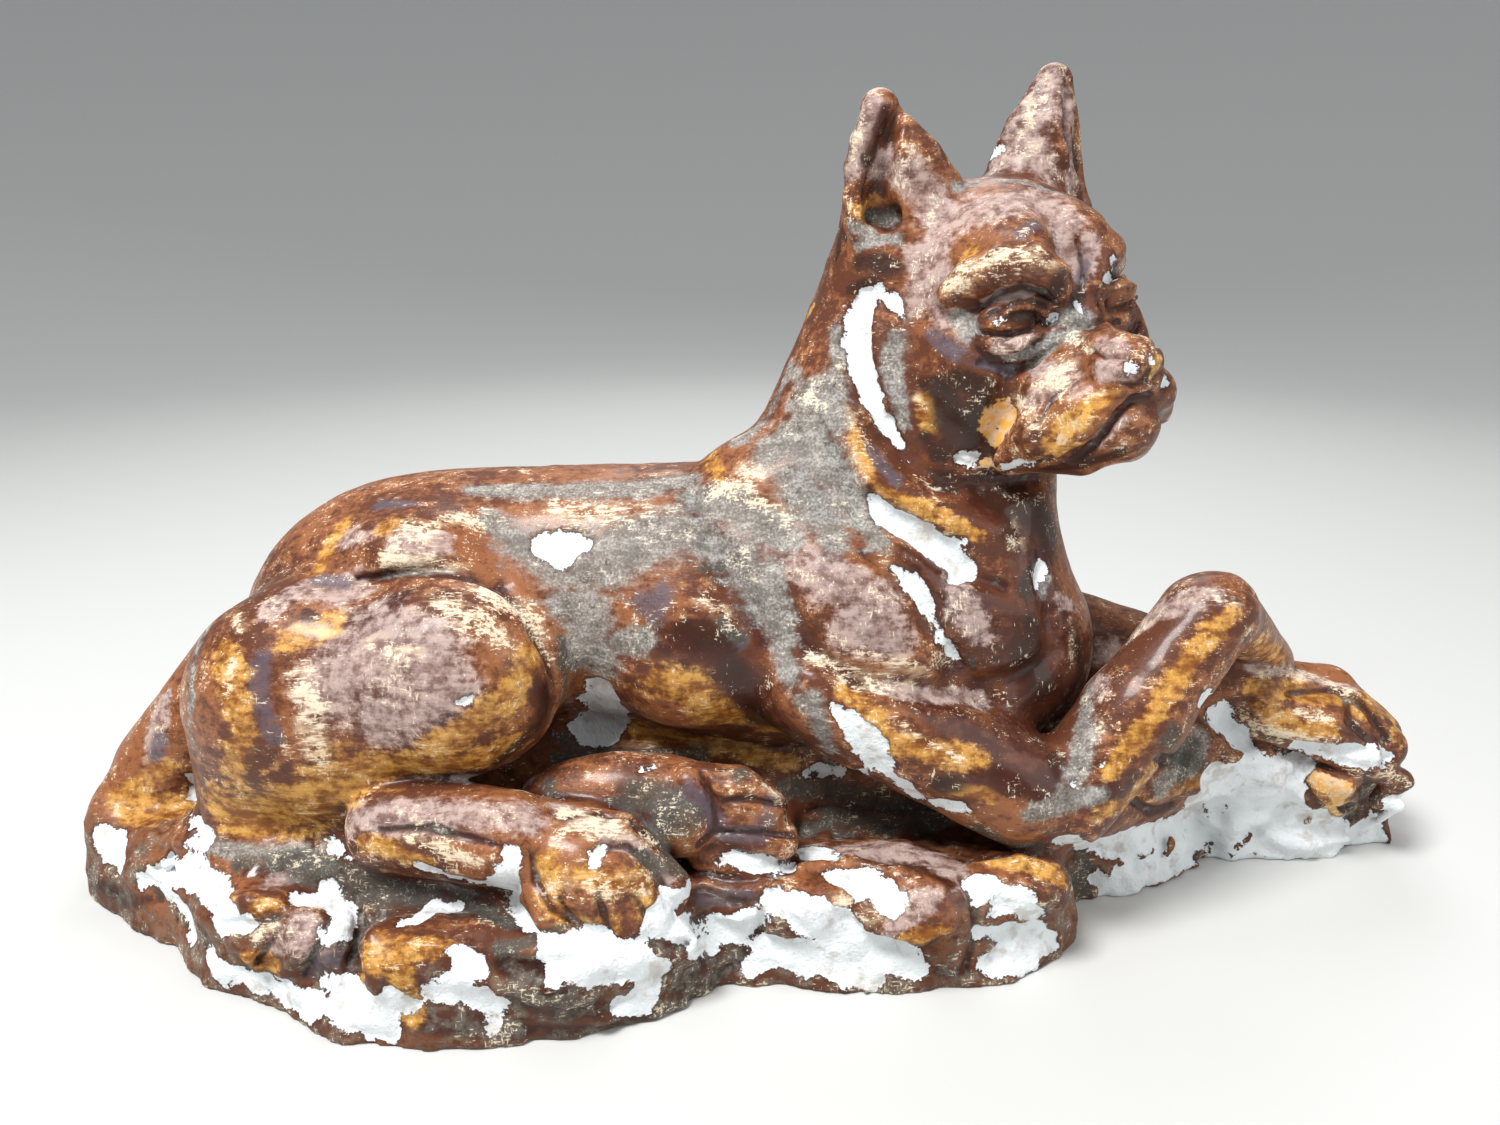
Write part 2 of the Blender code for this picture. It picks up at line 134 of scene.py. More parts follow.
def placed(shape, origin, spin):
    """The shape, modelled in a frame of its own, as it lies in the statue."""
    distance, low, high = shape
    corners = np.array(list(itertools.product(*zip(low, high)))) @ spin.T + origin

    def moved(*point):
        away = [p - o for p, o in zip(point, origin)]
        return distance(*[sum(a * spin[i, k] for i, a in enumerate(away)) for k in range(3)])

    return moved, corners.min(axis=0), corners.max(axis=0)


print("an egg's box ends at", egg((0, 0, 0), (3, 2, 1), (0, 0, 30))[2].round(2))


# %% [markdown]
# The clay itself is a grid of points that each know their distance to the surface. The face is the
# part that people look at, so the grid's lines stand closer together where the head is, and wider in
# the rump and the slab, where nothing small happens.

# %% The clay
FAR_AWAY = 50.0
COARSE_STEP, FINE_STEP = ((1.0, 0.7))
CLAY_LOW = (-216, -84, -GROUND - 6)
CLAY_HIGH = (200, 84, 212)
FINE_FROM = (14, -60, 94)
FINE_TO = (116, 44, 212)


def grid_lines(low, high, fine_from, fine_to):
    """Grid lines from low to high, closer together between fine_from and fine_to."""
    stretches = (
        (low, fine_from, COARSE_STEP),
        (fine_from, fine_to, FINE_STEP),
        (fine_to, high, COARSE_STEP),
    )
    lines = [
        np.linspace(start, end, math.ceil((end - start) / step), endpoint=False)
        for start, end, step in stretches
        if end > start
    ]
    return np.append(np.concatenate(lines), high).astype(np.float32)


class Clay:
    """The clay as distances to its surface on a grid of points, negative inside."""

    def __init__(self):
        self.axes = [grid_lines(*line) for line in zip(CLAY_LOW, CLAY_HIGH, FINE_FROM, FINE_TO)]
        self.field = np.full([len(a) for a in self.axes], FAR_AWAY, np.float32)

    def window(self, low, high, margin):
        """The part of the grid near a shape, and its points as three arrays that broadcast."""
        cut = tuple(
            slice(np.searchsorted(axis, a - margin), np.searchsorted(axis, b + margin))
            for axis, a, b in zip(self.axes, low, high)
        )
        return cut, np.ix_(*[axis[part] for axis, part in zip(self.axes, cut)])

    def add(self, shape, blend):
        """Presses a shape on, with a fillet as wide as blend where it meets the rest."""
        distance, low, high = shape
        cut, points = self.window(low, high, blend + 3 * COARSE_STEP)
        old, new = self.field[cut], distance(*points)
        near = np.maximum(blend - np.abs(old - new), 0) / blend
        self.field[cut] = np.minimum(old, new) - near * near * blend / 4

    def cut(self, shape, blend):
        """Scoops a shape out, with its rim rounded over as wide as blend."""
        distance, low, high = shape
        cut, points = self.window(low, high, blend + 3 * COARSE_STEP)
        old, new = self.field[cut], -distance(*points)
        near = np.maximum(blend - np.abs(old - new), 0) / blend
        self.field[cut] = np.maximum(old, new) + near * near * blend / 4

    def read(self, points):
        """The distances at any points, from the eight grid points round each."""
        cells, shares = [], []
        for axis, place in zip(self.axes, np.asarray(points).T):
            cell = np.clip(np.searchsorted(axis, place) - 1, 0, len(axis) - 2)
            cells.append(cell)
            shares.append(np.clip((place - axis[cell]) / (axis[cell + 1] - axis[cell]), 0, 1))
        found = 0
        for corner in itertools.product((0, 1), repeat=3):
            weight = np.prod([share if c else 1 - share for c, share in zip(corner, shares)], axis=0)
            found = found + weight * self.field[tuple(cell + c for c, cell in zip(corner, cells))]
        return found


clay = Clay()
print("the clay's grid:", clay.field.shape)

# %% [markdown]
# Three helpers save writing the same thing again and again: a row of limbs end to end, a row that
# is mirrored to the dog's other side, and smooth random bumps that turn clay into stone or skin.

# %% Rows, mirrors and bumps
def chain(work, points, radii, blend):
    """Limbs end to end through the points."""
    for start, end, thick, thin in zip(points, points[1:], radii, radii[1:]):
        work(limb(start, end, thick, thin), blend)


def mirrored(points, side):
    """The points on the dog's left, or the same on its right."""
    return [(x, y * side, z) for x, y, z in points]


def bumps(axes, cell, seed):
    """Smooth random heights between -1 and 1 on the grid, about one bump to a cell."""
    size = [int(np.ptp(axis) / cell) + 2 for axis in axes]
    height = np.random.default_rng(seed).uniform(-1, 1, size).astype(np.float32)
    for number, axis in enumerate(axes):
        place = (axis - axis[0]) / cell
        index = place.astype(int)
        share = place - index
        share = share * share * (3 - 2 * share)
        share = share.reshape([-1 if n == number else 1 for n in range(3)])
        near, far = np.take(height, index, number), np.take(height, index + 1, number)
        height = near + share * (far - near)
    return height


print("rows, mirrors and bumps are ready")

# %% [markdown]
# The ground is a flat slab with a rough edge, and a rock that the fore paws lie on. Its outline is
# read off the photograph as a closed row of corners, and the distance to that row gives the sides.
# Random bumps in four sizes then turn the clean slab into broken stone. They come before the dog, so
# that the dog itself stays smooth.

# %% A slab as a distance
def slab(outline, top, rounding, flare):
    """Ground with a closed outline and a flat top. Its sides lean out by flare for each unit down."""
    outline = np.array(outline, float)
    ends = np.roll(outline, -1, axis=0)

    def distance(x, y, z):
        gap = np.full((x + y).shape, 1e9)
        inside = np.zeros(gap.shape, bool)
        for (ax, ay), (bx, by) in zip(outline, ends):
            ex, ey = bx - ax, by - ay
            share = np.clip(((x - ax) * ex + (y - ay) * ey) / (ex * ex + ey * ey), 0, 1)
            gap = np.minimum(gap, np.hypot(x - ax - share * ex, y - ay - share * ey))
            if ay != by:
                inside ^= ((y > ay) != (y > by)) & (x < ax + (y - ay) / ey * ex)
        side = np.where(inside, -gap, gap) + flare * (z - top) + rounding
        above = z - top + rounding
        outside = np.hypot(np.maximum(side, 0), np.maximum(above, 0))
        return outside + np.minimum(np.maximum(side, above), 0) - rounding

    low, high = outline.min(axis=0) - 12, outline.max(axis=0) + 12
    return distance, np.array([*low, -GROUND - 12]), np.array([*high, top])


print("a slab can be laid")

# %% [markdown]
# The slab's corners are listed first, then the lumps and ridges of stone that stand up from it, and
# the clefts that part them. The small lump that is added last, under the paw, has a hook's shape.

# %% Slab, rock and clefts
def ground(clay):
    """The rough slab under the dog and the rock under its fore paws."""
    slab_outline = (
        (-203, -14), (-184, -30), (-166, -40), (-147, -57), (-128, -65), (-110, -75), (-89, -78), (-60, -75),
        (-38, -66), (-18, -54), (-10, -54), (25, -58), (50, -55), (64, -48), (73, -36), (76, -18),
        (96, 0), (112, 40), (96, 56), (60, 60), (40, 66), (-10, 62), (-40, 70), (-84, 66), (-110, 70),
        (-150, 62), (-176, 54), (-190, 32), (-202, 14),
    )
    clay.add(slab(slab_outline, -1, 9, 0.1), 1)
    rock_outline = (
        (76, -18), (98, -15), (112, -6), (124, 3), (150, 4), (166, 4), (174, 10), (186, 14), (190, 28),
        (176, 42), (150, 46), (132, 54), (100, 50), (80, 20),
    )
    clay.add(slab(rock_outline, 5, 7, 0.1), 6)
    for centre, radii in (
        ((-198, -5, -7), (8, 9, 12)),
        ((-190, 20, -4), (14, 18, 9)),
        ((-100, 50, -2), (60, 14, 8)),
        ((20, 48, -2), (50, 14, 9)),
        ((10, -44, -3), (52, 14, 6)),
        ((118, 12, 8), (36, 18, 15)),
        ((112, 0, 4), (16, 10, 9)),
        ((142, 6, 3), (22, 12, 9)),
        ((157, 0, 1), (8, 6, 7)),
        ((-124, -26, 2), (46, 25, 10)),
        ((-44, -22, 2), (44, 20, 12)),
    ):
        clay.add(egg(centre, radii), 6)
    for points, radii in (
        (((-160, -40, -5), (-132, -58, -6), (-112, -66, -7)), (6, 8, 7)),
        (((-98, -70, -6), (-60, -70, -8), (-30, -60, -6)), (8, 9, 7)),
        (((-10, -51, -5), (28, -54, -4), (62, -46, -3)), (6, 7, 8)),
        (((-112, -42, 2), (-64, -52, 2)), (9, 8)),
    ):
        chain(clay.add, points, radii, 5)
    for points, radii in (
        (((-176, -40, -13), (-140, -66, -14), (-118, -74, -13), (-104, -79, -15)), (2, 3, 3, 1)),
        (((-104, -60, -2), (-108, -74, -8), (-106, -82, -16)), (1, 2.5, 2)),
        (((-28, -62, 2), (-22, -60, -6), (-18, -60, -20)), (2, 3, 3)),
        (((74, -34, 0), (80, -24, -8), (84, -22, -20)), (3, 4, 4)),
        (((110, -10, -8), (122, -2, -10), (128, 2, -22)), (2, 3, 2)),
    ):
        chain(clay.cut, points, radii, 5)
    for size, height, seed in ((15, 1.6, 4), (7, 0.9, 5), (3.6, 0.5, 6), (2.1, 0.25, 7)):
        clay.field += height * bumps(clay.axes, size, seed)
    chain(clay.add, ((163, -1, 4), (173, 0, 6), (181, 2, 1), (176, 1, -5)), (3.5, 3.5, 4, 3), 1.5)


ground(clay)
print("ground laid")

# %% [markdown]
# The body lies stretched out. Four big eggs give rump, loin, ribs and breast, and three tapered bars
# give the neck. Wide blends make the flowing lines of a short-haired dog.

# %% Trunk and legs
def trunk(clay):
    """Rump, loin, ribs, breast and neck."""
    for centre, radii, blend in (
        ((-112, 6, 46), (45, 38, 44), 4),
        ((-66, 5, 61), (62, 32, 35), 20),
        ((-8, 3, 57), (58, 38, 40), 20),
        ((44, 1, 46), (40, 33, 36), 18),
    ):
        clay.add(egg(centre, radii), blend)
    clay.add(limb((-100, 8, 8), (40, 6, 8), 26, 24), 10)
    clay.add(limb((28, 6, 66), (38, 18, 124), 36, 26), 16)
    clay.add(limb((8, 4, 88), (24, 14, 136), 25, 20), 14)
    clay.add(limb((46, 0, 62), (52, 6, 112), 25, 19), 12)
    clay.add(egg((-8, -2, 94), (17, 15, 12)), 8)
    clay.add(egg((-100, -18, 78), (14, 10, 10)), 10)
    clay.add(egg((18, 32, 56), (28, 14, 24), (0, 42, 0)), 9)


def fore_legs(clay):
    """The right fore leg with its paw on the rock, and the left one bent in front of the breast."""
    clay.add(egg((18, -25, 60), (30, 15, 22), (0, 42, 0)), 7)
    clay.add(limb((6, -30, 46), (56, -36, 20), 16, 15), 6)
    chain(clay.add, ((70, -35, 16), (88.5, -29, 38.5), (106.5, -21, 60.5)), (13, 12.8, 12), 4)
    clay.add(limb((112, -17, 62), (144, 13, 37), 10, 5), 6)
    clay.add(limb((78, -12, 8), (112, 2, 14), 18, 14), 8)
    chain(clay.add, ((72, 26, 40), (118, 14, 32), (138, 8, 26)), (17, 13, 11), 7)
    for points in (
        ((138, 15, 28), (162, 15, 24), (178, 12, 12)),
        ((140, 8, 27), (164, 7, 21), (176, 5, 11)),
        ((136, 2, 23), (155, 0, 19), (166, -1, 11)),
    ):
        chain(clay.add, points, (8, 8.5, 7), 1.5)


def hind_legs(clay):
    """Both haunches, the tail, the right hind paw and the left one under the belly."""
    clay.add(egg((-104, 32, 24), (44, 20, 26)), 8)
    clay.add(egg((-152, 24, 16), (34, 22, 24)), 10)
    clay.add(limb((-162, 10, 38), (-187, 5, 4), 14, 16), 6)
    clay.add(egg((-124, -28, 40), (37, 24, 33)), 9)
    clay.add(egg((-146, -24, 18), (16, 17, 20)), 8)
    clay.add(egg((-88, -34, 50), (27, 21, 26)), 10)
    clay.add(limb((-103, -47, 15), (-72, -55, 16), 12, 12), 3)
    clay.add(egg((-53, -56, 11), (20, 14, 12), (0, 15, -20)), 5)
    for points in (
        ((-64, -53, 17), (-45, -56, 16), (-33, -59, 5)),
        ((-61, -57, 14), (-45, -62, 12), (-37, -65, 0)),
        ((-63, -60, 11), (-50, -66, 8), (-46, -67, -2)),
        ((-67, -59, 9), (-59, -66, 4), (-57, -67, -3)),
    ):
        chain(clay.add, points, (6, 6.5, 5.5), 1.5)
    clay.add(egg((-44, -38, 16), (30, 11, 14)), 3)
    for points in (
        ((-28, -42, 24), (-16, -43, 22), (-9, -44, 18)),
        ((-24, -44, 15), (-12, -45, 13), (-6, -46, 10)),
        ((-24, -44, 6), (-12, -45, 4), (-7, -45, 1)),
    ):
        chain(clay.add, points, (6, 6.5, 5.5), 1.5)
    clay.add(egg((-31, -46, 15), (9.5, 8, 9)), 1.5)


trunk(clay)
hind_legs(clay)
fore_legs(clay)
print("trunk and legs pressed on")

# %% [markdown]
# The skin lies in rolls where the neck turns, and grooves run between the big muscles. They are cut
# with thin bars after the masses are in place, the way a modelling tool is drawn through wet clay.

# %% Folds of the skin
def folds(clay):
    """Rolls and creases of the skin, and the grooves between the big muscles, on the right side."""
    roll = (
        (12, -13, 108), (17, -18, 97), (26, -20, 93), (36, -21, 88.5), (47, -20.5, 84), (56, -17, 78),
    )
    chain(clay.add, roll, (4, 5, 5, 5, 5, 3), 4)
    clay.add(egg((-30, -26, 52), (17, 10, 18)), 8)
    behind_the_ear = (
        (17, -4, 145), (13, -8, 132), (16, -13, 120), (22, -17, 111), (28, -20, 105), (37, -21, 100),
        (48, -20, 97), (62, -13, 97),
    )
    neck = ((16.7, -24, 95), (24.7, -27, 88.4), (35, -29, 82), (42, -29.5, 77), (52, -27, 72))
    withers = ((5, -13.5, 112), (10, -21, 100.5), (14.6, -27, 89.4))
    breast = (
        (16, -32, 83.6), (25, -35.5, 76.4), (32.5, -37.5, 66.6), (40, -36.5, 53), (47, -33.5, 46.5),
        (57, -31, 47.6), (68, -25, 54),
    )
    shoulder = ((-5.5, -34, 72.7), (1.4, -39.5, 60), (14, -43.5, 53), (31.5, -41, 48.7), (49.5, -33, 43))
    shoulder_blade = (
        (-29, -15, 92), (-22.7, -25, 83.7), (-19.5, -30, 76.7), (-13.5, -33.5, 69.3), (-10.5, -35, 60.4),
    )
    throat = ((62.5, -20.5, 77), (66, -25, 62), (65, -28, 48))
    flank = ((-113, -26.5, 73.4), (-91, -30.5, 78), (-76, -31, 74), (-65, -37.5, 63), (-61, -39, 50))
    for points, radii, blend in (
        (behind_the_ear, (1, 2, 2.5, 2.5, 2.5, 2.5, 2.5, 2), 5),
        (neck, (1.5, 2, 2, 2, 1), 4),
        (withers, (1, 1.5, 1), 3),
        (breast, (1.5, 2, 2.2, 2.5, 2, 1.5, 1), 5),
        (shoulder, (1, 1.5, 1.5, 1.5, 1), 5),
        (shoulder_blade, (1, 1.6, 2, 1.8, 1), 5),
        (throat, (1, 1.5, 0.5), 4),
        (flank, (0.2, 0.8, 1.5, 2, 1.5), 4),
    ):
        chain(clay.cut, points, radii, blend)


folds(clay)
print("folds drawn")

# %% [markdown]
# The head is modelled in a frame of its own, facing along x, and then turned on the neck. Both sides
# come from the same numbers, mirrored. The lids, the brow and the bag under the eye are thin bars,
# and the mouth is a groove between the hanging lips and the chin.

# %% Measures of the head
HEAD_ORIGIN = (54.6, 8.7, 142.3)
HEAD_TURN = -65
HEAD_NOD = 4
HEAD_TILT = 9
HEAD_SPIN = turned((0, 0, HEAD_TURN)) @ turned((0, HEAD_NOD, 0)) @ turned((HEAD_TILT, 0, 0))
SIDES = (-1, 1)
BROW = ((26, 6, 6), (24, 10, 9), (20.5, 15, 10.5), (16.5, 20, 9.5), (13, 25, 6))
UNDER_BROW = ((29, 10, 6.5), (25.5, 17, 6.5), (21, 23, 4))
UPPER_LID = ((23, 24.5, -2), (25.5, 21, 2), (27.5, 17.5, 4.2), (28.5, 13.5, 4), (28, 9, 1.5))
LOWER_LID = ((25, 22.5, -2.6), (27.5, 17, -4.6), (28.2, 11, -3.4), (28.5, 8, -0.5))
BAG = ((21.5, 23.5, -6), (24.5, 20, -8), (26.7, 15, -8), (28, 9.5, -6))
UNDER_BAG = ((24, 25, -9), (27, 19.5, -11.5), (30, 13, -10.5), (32, 8.5, -7))

print("the face looks", -HEAD_TURN, "degrees to the dog's right")

# %% [markdown]
# This breed's muzzle is short and broad, with heavy lips that hang over the jaw. The eye is a ball
# in a scooped socket, with the lids laid over it. Each function gets the two tools, press and
# carve, which place what they are given in the head's own frame.

# %% Muzzle, mouth, eyes and ears
def muzzle(press, carve):
    """The bridge, the chin, the flews that hang over the jaw, and the nose."""
    press(egg((31, 0, -18), (18, 18, 12)), 6)
    chain(press, ((24, 0, -3), (36, 0, -12), (44, 0, -14)), (9, 7, 7), 5)
    press(egg((44.5, 0, -26), (9.5, 11, 9)), 3)
    flew = ((47.5, 4.5, -15), (43, 10, -20), (36, 15, -26), (28, 19, -32))
    for side in SIDES:
        press(limb((40, 7 * side, -31), (20, 17 * side, -33), 7, 6), 3)
        chain(press, mirrored(flew, side), (4.5, 6.5, 7.5, 6), 3)
    press(egg((46.5, 0, -11), (8, 9.5, 7.5)), 1.5)
    press(egg((41, 0, -7), (7, 6.5, 4)), 1)
    for side in SIDES:
        carve(egg((55, 4.5 * side, -11.5), (2.5, 2.2, 2)), 1)


def mouth(carve):
    """The line of the lips, the crease behind their corner and the split under the nose."""
    lips = ((55, 0, -17), (54, 4, -17.5), (53.5, 8.5, -20), (49, 12, -26), (43, 16.5, -31), (36, 20, -34))
    cheek = ((29, 20, -14), (29, 23, -23), (25, 24, -33))
    for side in SIDES:
        chain(carve, mirrored(lips, side), (1.4, 1.5, 1.8, 1.8, 1.6, 0.8), 1.5)
        chain(carve, mirrored(cheek, side), (1.5, 2, 1.5), 4)
    chain(carve, ((55.5, 0, -14), (55, 0, -18)), (0.8, 0.8), 1)


def eye(press, carve, side):
    """The socket, the brow over it, the ball, two lids and the bag under them."""
    carve(egg((30, 15.5 * side, 0), (5, 8.5, 4.5)), 5)
    chain(press, mirrored(BROW, side), (5.5, 5.5, 5.5, 5, 4), 2)
    chain(carve, mirrored(UNDER_BROW, side), (0.8, 1, 0.8), 2)
    press(egg((22.3, 15.5 * side, 0), (6, 8, 5.2)), 0.5)
    chain(press, mirrored(UPPER_LID, side), (1.1, 1.3, 1.4, 1.4, 1.2), 0.8)
    chain(press, mirrored(LOWER_LID, side), (1.1, 1.3, 1.3, 1.2), 0.8)
    chain(press, mirrored(BAG, side), (1.8, 2.3, 2.3, 1.8), 3)
    chain(carve, mirrored(UNDER_BAG, side), (0.7, 1, 1, 0.7), 2)


def ear(press, carve, side):
    """An ear cropped to a point, scooped out on its outer side."""
    tip = (-12.5, 27 * side, 50)
    press(limb((-16, 24 * side, 13), tip, 16, 5), 7)
    press(limb((-12, 13 * side, 18), (-12, 22.5 * side, 38), 12, 8.5), 5)
    hollow = ((-4.5, 29, 47), (-2.5, 32, 35), (-4, 34, 25.5))
    chain(carve, mirrored(hollow, side), (2, 5, 6.5), 1.5)


print("the features of the face are ready")

# %% [markdown]
# The skull is two eggs, with one more for each cheek and each half of the forehead. The features
# go on next, and the furrow between the eyes is drawn last.

# %% The head on its neck
def head(clay):
    """The head, turned away from the body's line towards the dog's right."""
    origin = np.array(HEAD_ORIGIN)

    def press(shape, blend):
        clay.add(placed(shape, origin, HEAD_SPIN), blend)

    def carve(shape, blend):
        clay.cut(placed(shape, origin, HEAD_SPIN), blend)

    press(egg((-3, 0, 2), (32, 29, 28)), 6)
    press(egg((8, 0, -14), (24, 24, 24)), 8)
    for side in SIDES:
        press(egg((7, 21 * side, -17), (21, 14, 20)), 5)
        press(egg((15, 8.5 * side, 14), (12, 9.5, 9)), 6)
    muzzle(press, carve)
    for side in SIDES:
        eye(press, carve, side)
        ear(press, carve, side)
    mouth(carve)
    furrow = ((36, 0, 0), (29, 0, 10), (18, 0, 26))
    chain(carve, furrow, (2, 2, 2), 5)


head(clay)
print("head modelled")

# %% [markdown]
# Small things are placed by pixel, as (across, down, radius), read off the photograph. A ray from the
# camera through the pixel is followed until it enters the clay, so each line or damaged spot sits on
# the surface whatever its shape, and it keeps its place when the statue is seen from behind.

# %% From pixel to surface
def ray(across, down):
    """The direction in which the camera sees a pixel, one share long in depth."""
    tilt = LOOKS_DOWN
    level, rise = (across - PHOTO_WIDTH / 2) / FOCAL_PIXELS, (PHOTO_HEIGHT / 2 - down) / FOCAL_PIXELS
    ahead, up = np.array((0, math.cos(tilt), -math.sin(tilt))), np.array((0, math.sin(tilt), math.cos(tilt)))
    return ahead + level * np.array((1, 0, 0)) + rise * up


NEAREST, FARTHEST, STRIDE = 180, 420, 0.5
depths = np.arange(NEAREST, FARTHEST, STRIDE)


def on_surface(stroke, deeper=0):
    """The stroke's pixels as places on the clay, or deeper by a share of the radius, and the radii."""
    places, radii = [], []
    for across, down, radius in stroke:
        way = CAMERA_PLACE + depths[:, None] * ray(across, down)
        found = clay.read(way)
        first = np.argmax(found < 0) if (found < 0).any() else np.argmin(found)
        radii.append(radius * depths[first] / FOCAL_PIXELS)
        places.append(way[first] + deeper * radii[-1] * ray(across, down))
    return places, radii


middle, _ = on_surface(((PHOTO_WIDTH / 2, PHOTO_HEIGHT / 2, 1),))
print("the middle of the photograph shows the place", middle[0].round())

# %% [markdown]
# The finest lines were cut last, with a small tool: the lids, the lips, the toes, the cracks between the
# stones. We draw them by pixel too, on the clay as it stands. A line pressed on makes a ridge and a line cut
# out makes a groove. What is cut into the face is also cut into its other half.

# %% Lines on the head
FACE_GROOVES = (
    ((979, 331, 3), (992, 312, 4), (1012, 303, 4), (1032, 301, 4), (1045, 307, 3)),
    ((984, 306, 3), (998, 293, 4), (1022, 286, 4), (1044, 292, 4), (1058, 304, 3)),
    ((981, 334, 3), (1006, 335, 3), (1030, 331, 3), (1046, 325, 3)),
    ((976, 346, 3), (988, 358, 4), (1008, 361, 4), (1030, 352, 4), (1048, 338, 3)),
    ((1076, 240, 2), (1080, 257, 3), (1083, 280, 3), (1076, 298, 2)),
    ((1088, 326, 3), (1100, 320, 3), (1118, 322, 3)),
    ((1092, 350, 3), (1104, 358, 3), (1120, 358, 3)),
    ((1120, 382, 3), (1132, 386, 4), (1144, 380, 4), (1147, 370, 3)),
    ((1150, 395, 4), (1134, 400, 5), (1120, 412, 5), (1106, 431, 5), (1092, 447, 5), (1072, 460, 4)),
    ((1068, 385, 3), (1050, 400, 3), (1038, 425, 3)),
)
FACE_RIDGES = (
    ((950, 292, 9), (970, 276, 12), (1000, 264, 14), (1032, 263, 14), (1056, 276, 11), (1062, 290, 7)),
    ((988, 345, 4), (1008, 350, 5), (1030, 342, 4)),
    ((1095, 340, 3), (1110, 334, 3), (1124, 337, 3)),
    ((1128, 405, 4), (1116, 420, 5), (1104, 438, 5), (1088, 454, 4)),
    ((1112, 398, 4), (1096, 416, 6), (1078, 434, 7), (1056, 450, 6)),
)
EAR_GROOVES = (
    ((896, 112, 5), (888, 138, 9), (880, 168, 12), (876, 196, 14)),
    ((874, 214, 11), (888, 217, 14)),
    ((1067, 95, 3), (1067, 130, 4), (1074, 165, 3)),
)
EAR_RIDGES = (
    ((907, 122, 5), (929, 152, 9), (950, 180, 10)),
    ((868, 112, 4), (858, 140, 5), (852, 168, 5), (850, 200, 4), (856, 236, 5)),
    ((1037, 88, 7), (1018, 125, 9), (998, 158, 9)),
    ((1058, 72, 4), (1053, 100, 4), (1052, 125, 4), (1062, 155, 4), (1078, 192, 3)),
)
print(len(FACE_GROOVES + FACE_RIDGES + EAR_GROOVES + EAR_RIDGES), "lines on the head")

# %% [markdown]
# The toes are parted by short grooves, and the ground is made of stones with clefts between them.
# Their edges stand up a little, so they get ridges as well.

# %% Lines on the paws and the stones
PAW_GROOVES = (
    ((531, 852, 3), (536, 880, 5), (552, 908, 5), (584, 930, 4)),
    ((600, 848, 3), (625, 846, 4), (648, 860, 5), (662, 885, 5), (668, 905, 4)),
    ((560, 897, 3), (574, 920, 4), (590, 936, 4)),
    ((597, 893, 3), (604, 915, 5), (612, 934, 4)),
    ((634, 896, 3), (645, 914, 5), (656, 930, 4)),
    ((380, 829, 3), (430, 827, 5), (470, 837, 5), (502, 846, 3)),
    ((560, 820, 2), (600, 814, 3), (640, 829, 4), (668, 855, 4)),
    ((700, 772, 3), (713, 800, 4), (716, 829, 4), (698, 845, 3)),
    ((722, 801, 3), (752, 799, 4), (786, 806, 4)),
    ((716, 832, 3), (750, 832, 4), (792, 836, 4)),
    ((1287, 693, 3), (1331, 690, 4), (1358, 702, 5), (1374, 720, 4), (1387, 740, 3)),
    ((1346, 702, 3), (1348, 722, 4), (1368, 740, 4)),
    ((1258, 734, 3), (1298, 746, 4), (1340, 750, 4), (1372, 752, 3)),
)
STONE_GROOVES = (
    ((505, 968, 10), (535, 975, 13), (565, 966, 9)),
    ((345, 990, 4), (352, 958, 5), (362, 928, 5), (358, 896, 4)),
    ((222, 926, 4), (250, 928, 5), (276, 918, 4)),
    ((280, 930, 3), (262, 955, 4), (240, 975, 3)),
    ((330, 915, 4), (318, 945, 4), (305, 975, 3)),
    ((700, 889, 5), (738, 902, 6), (770, 897, 4)),
    ((770, 905, 3), (757, 935, 5), (735, 965, 4)),
    ((959, 879, 4), (974, 905, 4), (975, 930, 4), (966, 966, 4)),
    ((640, 940, 4), (680, 948, 5), (700, 935, 3)),
    ((1133, 800, 5), (1150, 812, 6), (1172, 806, 4)),
    ((1160, 760, 8), (1185, 758, 8)),
    ((1300, 760, 4), (1303, 785, 5), (1320, 808, 4), (1350, 806, 4)),
    ((1366, 775, 4), (1372, 800, 4)),
    ((1215, 790, 5), (1240, 796, 6), (1272, 790, 5)),
    ((1255, 832, 6), (1262, 850, 6)),
    ((1190, 850, 5), (1205, 862, 5)),
    ((1140, 868, 5), (1158, 858, 5)),
    ((1218, 812, 5), (1222, 824, 5)),
    ((1292, 780, 4), (1290, 800, 4)),
    ((1355, 815, 5), (1340, 828, 4), (1300, 830, 4)),
)
STONE_RIDGES = (
    ((222, 900, 7), (250, 902, 9), (272, 905, 6)),
    ((285, 925, 7), (300, 950, 8), (285, 972, 6)),
    ((250, 955, 6), (262, 975, 5)),
    ((520, 1008, 8), (600, 1015, 9), (680, 1000, 8)),
    ((720, 915, 6), (745, 925, 6)),
    ((800, 870, 8), (850, 866, 10), (900, 876, 9), (940, 890, 7)),
    ((860, 925, 8), (920, 935, 9), (950, 925, 7)),
    ((372, 935, 6), (372, 965, 7), (378, 990, 6)),
    ((402, 945, 6), (440, 948, 7), (478, 950, 6)),
    ((140, 864, 4), (170, 862, 5), (200, 866, 4)),
    ((982, 866, 4), (1020, 862, 5), (1058, 870, 5)),
    ((1142, 798, 5), (1170, 790, 6), (1200, 788, 6)),
    ((1320, 778, 7), (1344, 786, 8), (1352, 798, 6)),
    ((1225, 760, 8), (1260, 756, 10), (1290, 768, 8)),
    ((1200, 815, 8), (1235, 822, 12), (1262, 815, 9)),
    ((1275, 838, 9), (1310, 846, 10), (1345, 838, 9)),
    ((1375, 822, 7), (1398, 806, 7)),
    ((1310, 826, 6), (1335, 822, 6)),
)
